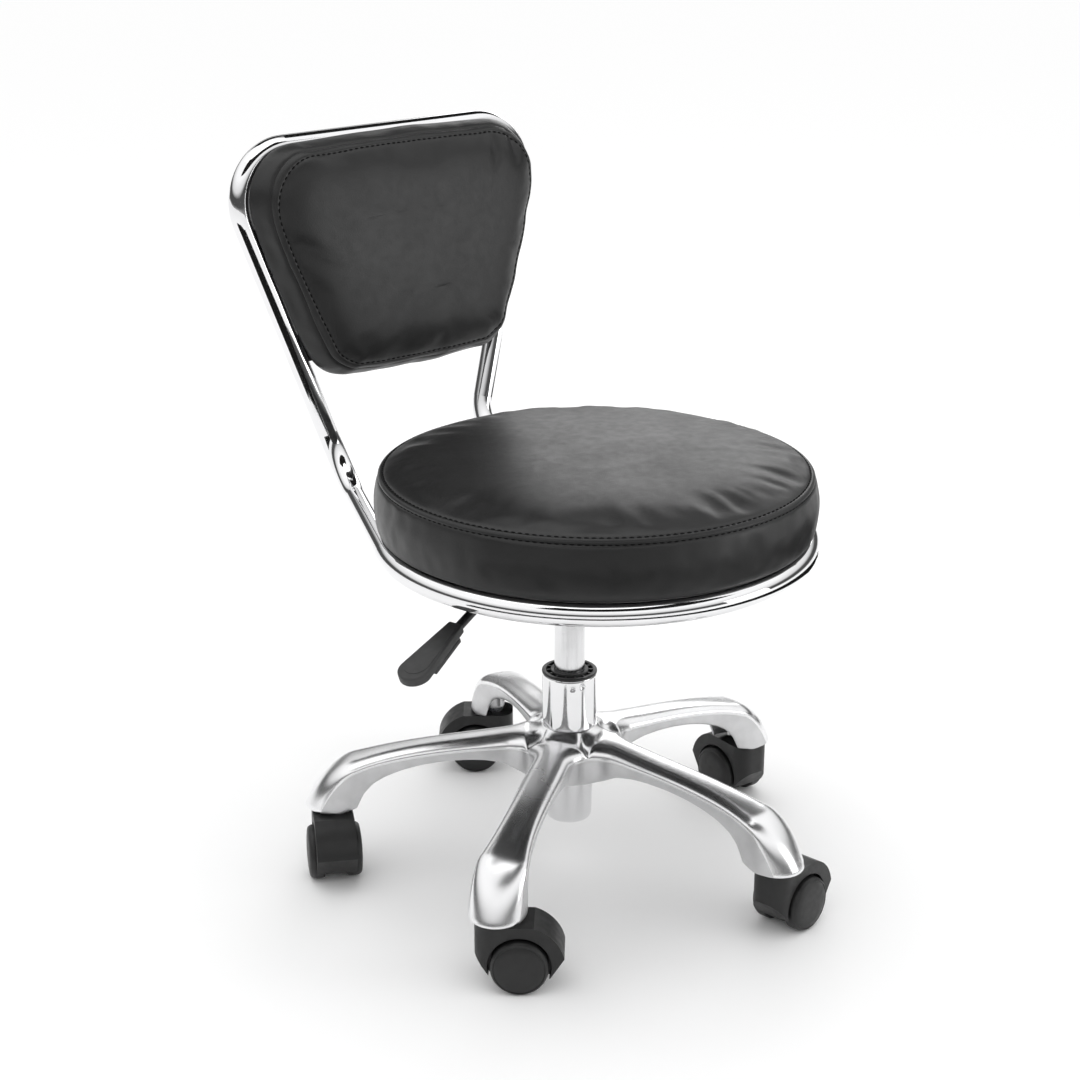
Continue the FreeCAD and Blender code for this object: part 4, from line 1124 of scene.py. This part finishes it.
def pucker_back(point):
    """Gathers at the corners of the front panel and a slack, wavy border along the top."""
    angle = math.atan2(point.y - BACK_CENTRE.y, point.x)
    corner = Vector((118.0, 296.0))
    near = math.exp(-((point.x - corner.x) ** 2 + (point.y - corner.y) ** 2) / 900.0)
    if point.z > 34.0:
        point.z -= 2.6 * near * max(0.0, math.sin((point.x - 92.0) / 4.2)) * (point.y > 278)
        point.z += 0.5 * waves(angle, 21, 4, 3, 9) * min(1.0, (point.z - 34.0) / 8.0)
    elif point.z > 11.0:
        swell = 0.8 * waves(angle, 17, 4, 5, 12)
        point.x += swell * math.cos(angle)
        point.y += swell * math.sin(angle)


def back_softness(local):
    """How much of the cloth's movement the backrest takes."""
    if local.z < 13.0:
        return 0.0
    return 0.32 * min(1.0, (local.z - 13.0) / 8.0)


seat_cushion()
back_cushion()


def ring_sheet(name, rings, material):
    """An open sheet through closed rings of points."""
    count = len(rings[0])
    points = [point for ring in rings for point in ring]
    faces = []
    for row in range(len(rings) - 1):
        for index in range(count):
            following = (index + 1) % count
            faces.append((row * count + index, row * count + following,
                          (row + 1) * count + following, (row + 1) * count + index))
    return piece(name, points, faces, [material])


BOARD_UNDERSIDE = 348.0
HEM_COUNT = 240
# Radius and height from the side of the board inwards.
HEM_PROFILE = [(181.6, 347.9), (176.0, 347.3), (168.0, 347.2), (163.0, 347.4), (162.4, 347.95)]
COVER_COUNT = 96
COVER_PROFILE = [(166.0, 347.75), (160.0, 347.6), (120.0, 347.55), (80.0, 347.6), (16.0, 347.7)]


def seat_hem():
    """The cover's hem, pleated and stapled round the underside of the board."""
    rings = []
    for radius, height in HEM_PROFILE:
        ring = []
        for index in range(HEM_COUNT):
            turn = 2 * math.pi * index / HEM_COUNT
            pleat = 0.18 * waves(turn, 31, 4, 30, 60)
            reach = radius + (1.6 * waves(turn, 9, 3, 5, 14) if radius < 170 else 0.0)
            ring.append((reach * math.cos(turn), SEAT_CENTRE.y + reach * math.sin(turn),
                         min(height + pleat, BOARD_UNDERSIDE - 0.04)))
        rings.append(ring)
    return ring_sheet("seat_hem", rings, VINYL)


def seat_staples():
    """Staples through the hem."""
    parts = []
    number = 36
    for index in range(number):
        turn = 2 * math.pi * (index + 0.3) / number
        middle = Vector((170.5 * math.cos(turn), SEAT_CENTRE.y + 170.5 * math.sin(turn), 346.9))
        along = Vector((-math.sin(turn + 0.25), math.cos(turn + 0.25), 0.0))
        parts.append(bar(middle - along * 4.5, middle + along * 4.5, 0.45, ZINC))
    return joined("seat_staples", parts)


def bar(start, end, radius, material, sides=8):
    """A straight round wire between two points."""
    direction = (end - start).normalized()
    side = direction.orthogonal().normalized()
    other = direction.cross(side)
    points = []
    for spot in (start, end):
        for index in range(sides):
            turn = 2 * math.pi * index / sides
            points.append(tuple(spot + (side * math.cos(turn) + other * math.sin(turn)) * radius))
    faces = [tuple(reversed(range(sides))), tuple(range(sides, 2 * sides))]
    for index in range(sides):
        following = (index + 1) % sides
        faces.append((index, following, sides + following, sides + index))
    return piece("bar", points, faces, [material], sharp=40)


def dust_cover():
    """The thin black cloth that closes the underside of the board, inside the hem."""
    rings = []
    for radius, height in COVER_PROFILE:
        ring = []
        for index in range(COVER_COUNT):
            turn = 2 * math.pi * index / COVER_COUNT
            sag = 0.12 * waves(turn, 41, 3, 4, 11)
            ring.append((radius * math.cos(turn), SEAT_CENTRE.y + radius * math.sin(turn), height + sag))
        rings.append(ring)
    return ring_sheet("seat_dust_cover", rings, CLOTH)


finished(dust_cover(), "seat", "upholstery")
finished(seat_hem(), "seat", "upholstery")
finished(seat_staples(), "seat", "zinc_steel")


# ---------------------------------------------------------------- lever

def lever_paddle():
    """The moulded grip: tapered, round-ended, softly edged, with a raised face and a toe block under it.
    """
    heading = math.radians(195.0)
    drop = math.radians(20.0)
    pivot = Vector(JOINTS["lever_tilt"]["pos_m"]) / MM
    bend = Vector((76.0, 0.0, pivot.z - 1.0))
    rod_end = bend + Vector((math.cos(drop), 0.0, -math.sin(drop))) * (100.0 / math.cos(drop))
    turn = Matrix.Rotation(heading, 4, "Z")
    tilt = Matrix.Rotation(drop, 4, "Y")
    place = turn @ Matrix.Translation(rod_end - (tilt.to_3x3() @ Vector((7.0, 0.0, 6.5)))) @ tilt
    narrow, wide, length = 7.0, 14.5, 76.0
    outline = []
    steps = 16
    centre = length - wide
    for step in range(steps + 1):
        angle = -math.pi / 2 + math.pi * step / steps
        outline.append((centre + wide * math.cos(angle), wide * math.sin(angle)))
    outline += [(30.0, narrow + (wide - narrow) * 30.0 / centre), (0.0, narrow), (0.0, -narrow),
                (30.0, -narrow - (wide - narrow) * 30.0 / centre)]
    grip = prism("lever_grip", outline, 4.0, 13.0, GRIP, 1.8)
    toe = prism("toe", [(8.0, -8.2), (51.0, -12.6), (51.0, 12.6), (8.0, 8.2)], 0.0, 4.6, GRIP, 1.2)
    inner = [(6.0 + (x - 6.0) * 0.9 if x > 6 else 6.0, y * 0.78) for x, y in outline]
    face = prism("face", inner, 12.6, 13.5, GRIP, 0.4)
    made = joined("lever_grip_moulding", [grip, toe, face])
    finish_shading(made.data, 40)
    return moved(made, place)


def prism(name, outline, low, high, material, edge):
    """An outline padded between two heights, with rounded edges."""
    count = len(outline)
    points = [(x, y, height) for height in (low, high) for x, y in outline]
    faces = [tuple(reversed(range(count))), tuple(range(count, 2 * count))]
    for index in range(count):
        following = (index + 1) % count
        faces.append((index, following, count + following, count + index))
    made = piece(name, points, faces, [material])
    modifier(made, "BEVEL", width=edge * MM, segments=4, limit_method="ANGLE",
             angle_limit=math.radians(35))
    return applied(made, 40)


finished(lever_paddle(), "lever", "grip_plastic", "lever_paddle")


# ---------------------------------------------------------------- carried-over CAD nodes

CAD_MATERIALS = {
    "seat_ring_tube": CHROME_TUBE,
    "back_loop_tube": CHROME_TUBE,
    "gas_cylinder": BRUSHED_ROD,
    "piston_rod": CHROME_LIFT,
    "piston": ZINC,
    "release_pin": ZINC,
    "bump_stop": RUBBER,
    "seat_board": PLYWOOD,
    "back_board": PLYWOOD,
    "mechanism_plate": PAINT,
    "lever_bracket": PAINT,
    "taper_socket": PAINT,
    "seat_strap_front": PAINT,
    "seat_strap_rear": PAINT,
    "back_strap_lower": PAINT,
    "back_strap_upper": PAINT,
    "lever_rod": PAINT,
}


def paint_frame():
    """Give every CAD node that is still shown its procedural material."""
    for name, node in frame["nodes"].items():
        material = NYLON if name.endswith("_housing") else CAD_MATERIALS.get(name, ZINC)
        node.data.materials.clear()
        node.data.materials.append(material)


paint_frame()


# ---------------------------------------------------------------- studio

def area_light(name, spot, target, size, power):
    light = bpy.data.lights.new(name, "AREA")
    light.shape = "RECTANGLE"
    light.size, light.size_y = size
    light.energy = power
    obj = bpy.data.objects.new(name, light)
    obj.location = spot
    obj.rotation_mode = "QUATERNION"
    obj.rotation_quaternion = (Vector(target) - Vector(spot)).to_track_quat("-Z", "Y")
    obj.visible_camera = False
    bpy.context.scene.collection.objects.link(obj)


def stage_mesh(name, points, faces, shader, *hidden_from):
    """A mesh that belongs to the studio; rays of the kinds in hidden_from pass through it."""
    mesh = bpy.data.meshes.new(name)
    mesh.from_pydata(points, [], faces)
    mesh.materials.append(shader.material)
    obj = bpy.data.objects.new(name, mesh)
    for ray in hidden_from:
        setattr(obj, "visible_" + ray, False)
    bpy.context.scene.collection.objects.link(obj)


def arc_points(radius, height, first, last, count):
    """Points along a level arc round the stool, in metres and degrees."""
    turns = [math.radians(first + (last - first) * index / (count - 1)) for index in range(count)]
    return [(radius * math.cos(turn), radius * math.sin(turn), height) for turn in turns]


def arc_band(near, far, first, last, count):
    """Points and faces of a band between two level arcs, each given as (radius, height)."""
    points = arc_points(*near, first, last, count) + arc_points(*far, first, last, count)
    faces = [(index, index + 1, count + index + 1, count + index) for index in range(count - 1)]
    return points, faces


def black_flag(name, near, far, first, last, count):
    """A matt black sheet that only shows in reflections."""
    shader = Shader(name, Base_Color=(0.01, 0.01, 0.01, 1), Specular_IOR_Level=0.0)
    points, faces = arc_band(near, far, first, last, count)
    stage_mesh(name, points, faces, shader, "camera", "diffuse", "shadow")


WALL_RADIUS = 27.0
WALL_BOTTOM = -0.5
WALL_TOP = 14.0


def surround():
    """A white wall round the studio that only the camera sees."""
    shader = Shader("white_wall", Base_Color=(0.0, 0.0, 0.0, 1), Specular_IOR_Level=0.0,
                    Emission_Color=(1.0, 1.0, 1.0, 1), Emission_Strength=1.0)
    points, faces = arc_band((WALL_RADIUS, WALL_BOTTOM), (WALL_RADIUS, WALL_TOP), 0, 360, 49)
    stage_mesh("surround", points, faces, shader, "diffuse", "glossy", "transmission", "shadow")


def white_room():
    """Surroundings that are bright overhead, with a dark band above the horizon for the chrome."""
    world = bpy.data.worlds.new("white_room")
    bpy.context.scene.world = world
    world.use_nodes = True
    tree = world.node_tree
    direction = tree.nodes.new("ShaderNodeTexCoord").outputs["Generated"]
    split = tree.nodes.new("ShaderNodeSeparateXYZ")
    tree.links.new(direction, split.inputs["Vector"])
    ramp = tree.nodes.new("ShaderNodeValToRGB")
    elements = ramp.color_ramp.elements
    stops = [(0.0, 0.25), (0.04, 0.07), (0.22, 0.07), (0.34, 0.70), (0.60, 1.0), (1.0, 1.0)]
    while len(elements) < len(stops):
        elements.new(0.5)
    for element, (position, level) in zip(elements, stops):
        element.position = position
        element.color = (level, level, level, 1.0)
    tree.links.new(split.outputs["Z"], ramp.inputs["Fac"])
    background = tree.nodes["Background"]
    tree.links.new(ramp.outputs["Color"], background.inputs["Color"])
    background.inputs["Strength"].default_value = 1.15


FLOOR_HALF = 30.0
# Each flag's near and far arc as (radius, height), its first and last direction, and its points.
FLAGS = {
    "floor_flag": ((0.66, 0.01), (1.65, 0.01), 170, 370, 31),
    "upper_flag": ((2.9, 2.0), (1.5, 3.3), 10, 90, 17),
    "front_flag": ((1.9, 2.3), (0.9, 2.6), 195, 320, 17),
}


def studio():
    """A pale floor, broad soft lights, and dark flags for the chrome and vinyl to reflect."""
    half = FLOOR_HALF
    shader = Shader("pale_floor", Base_Color=(0.97, 0.97, 0.97, 1), Roughness=0.9,
                    Specular_IOR_Level=0.0)
    stage_mesh("floor", [(-half, -half, 0), (half, -half, 0), (half, half, 0), (-half, half, 0)],
               [(0, 1, 2, 3)], shader)
    white_room()
    area_light("front_right", (1.9, -2.6, 0.75), (0, 0, 0.5), (1.5, 1.3), 16)
    area_light("overhead", (0.0, 0.2, 2.8), (0, 0, 0.4), (2.4, 2.4), 10)
    area_light("behind", (2.23, 1.83, 1.28), (0, 0, 0.41), (1.5, 1.05), 10)
    surround()
    for name, layout in FLAGS.items():
        black_flag(name, *layout)
    bpy.context.scene.view_settings.view_transform = "Standard"


CAMERA_SPOT = (-1.1778, -1.3469, 0.9753)
CAMERA_AZIMUTH = math.radians(-40.3)
CAMERA_PITCH = math.radians(20.0)
LENS = 70.63


def photo_camera():
    """The camera at the photograph's viewing angle."""
    level = math.cos(CAMERA_PITCH)
    data = bpy.data.cameras.new("camera")
    data.sensor_width = 36.0
    data.lens = LENS
    data.clip_end = 50.0
    camera = bpy.data.objects.new("camera", data)
    back = Vector((math.sin(CAMERA_AZIMUTH) * level, -math.cos(CAMERA_AZIMUTH) * level,
                   math.sin(CAMERA_PITCH)))
    camera.location = CAMERA_SPOT
    camera.rotation_mode = "QUATERNION"
    camera.rotation_quaternion = (-back).to_track_quat("-Z", "Y")
    bpy.context.scene.collection.objects.link(camera)
    bpy.context.scene.camera = camera


studio()
photo_camera()
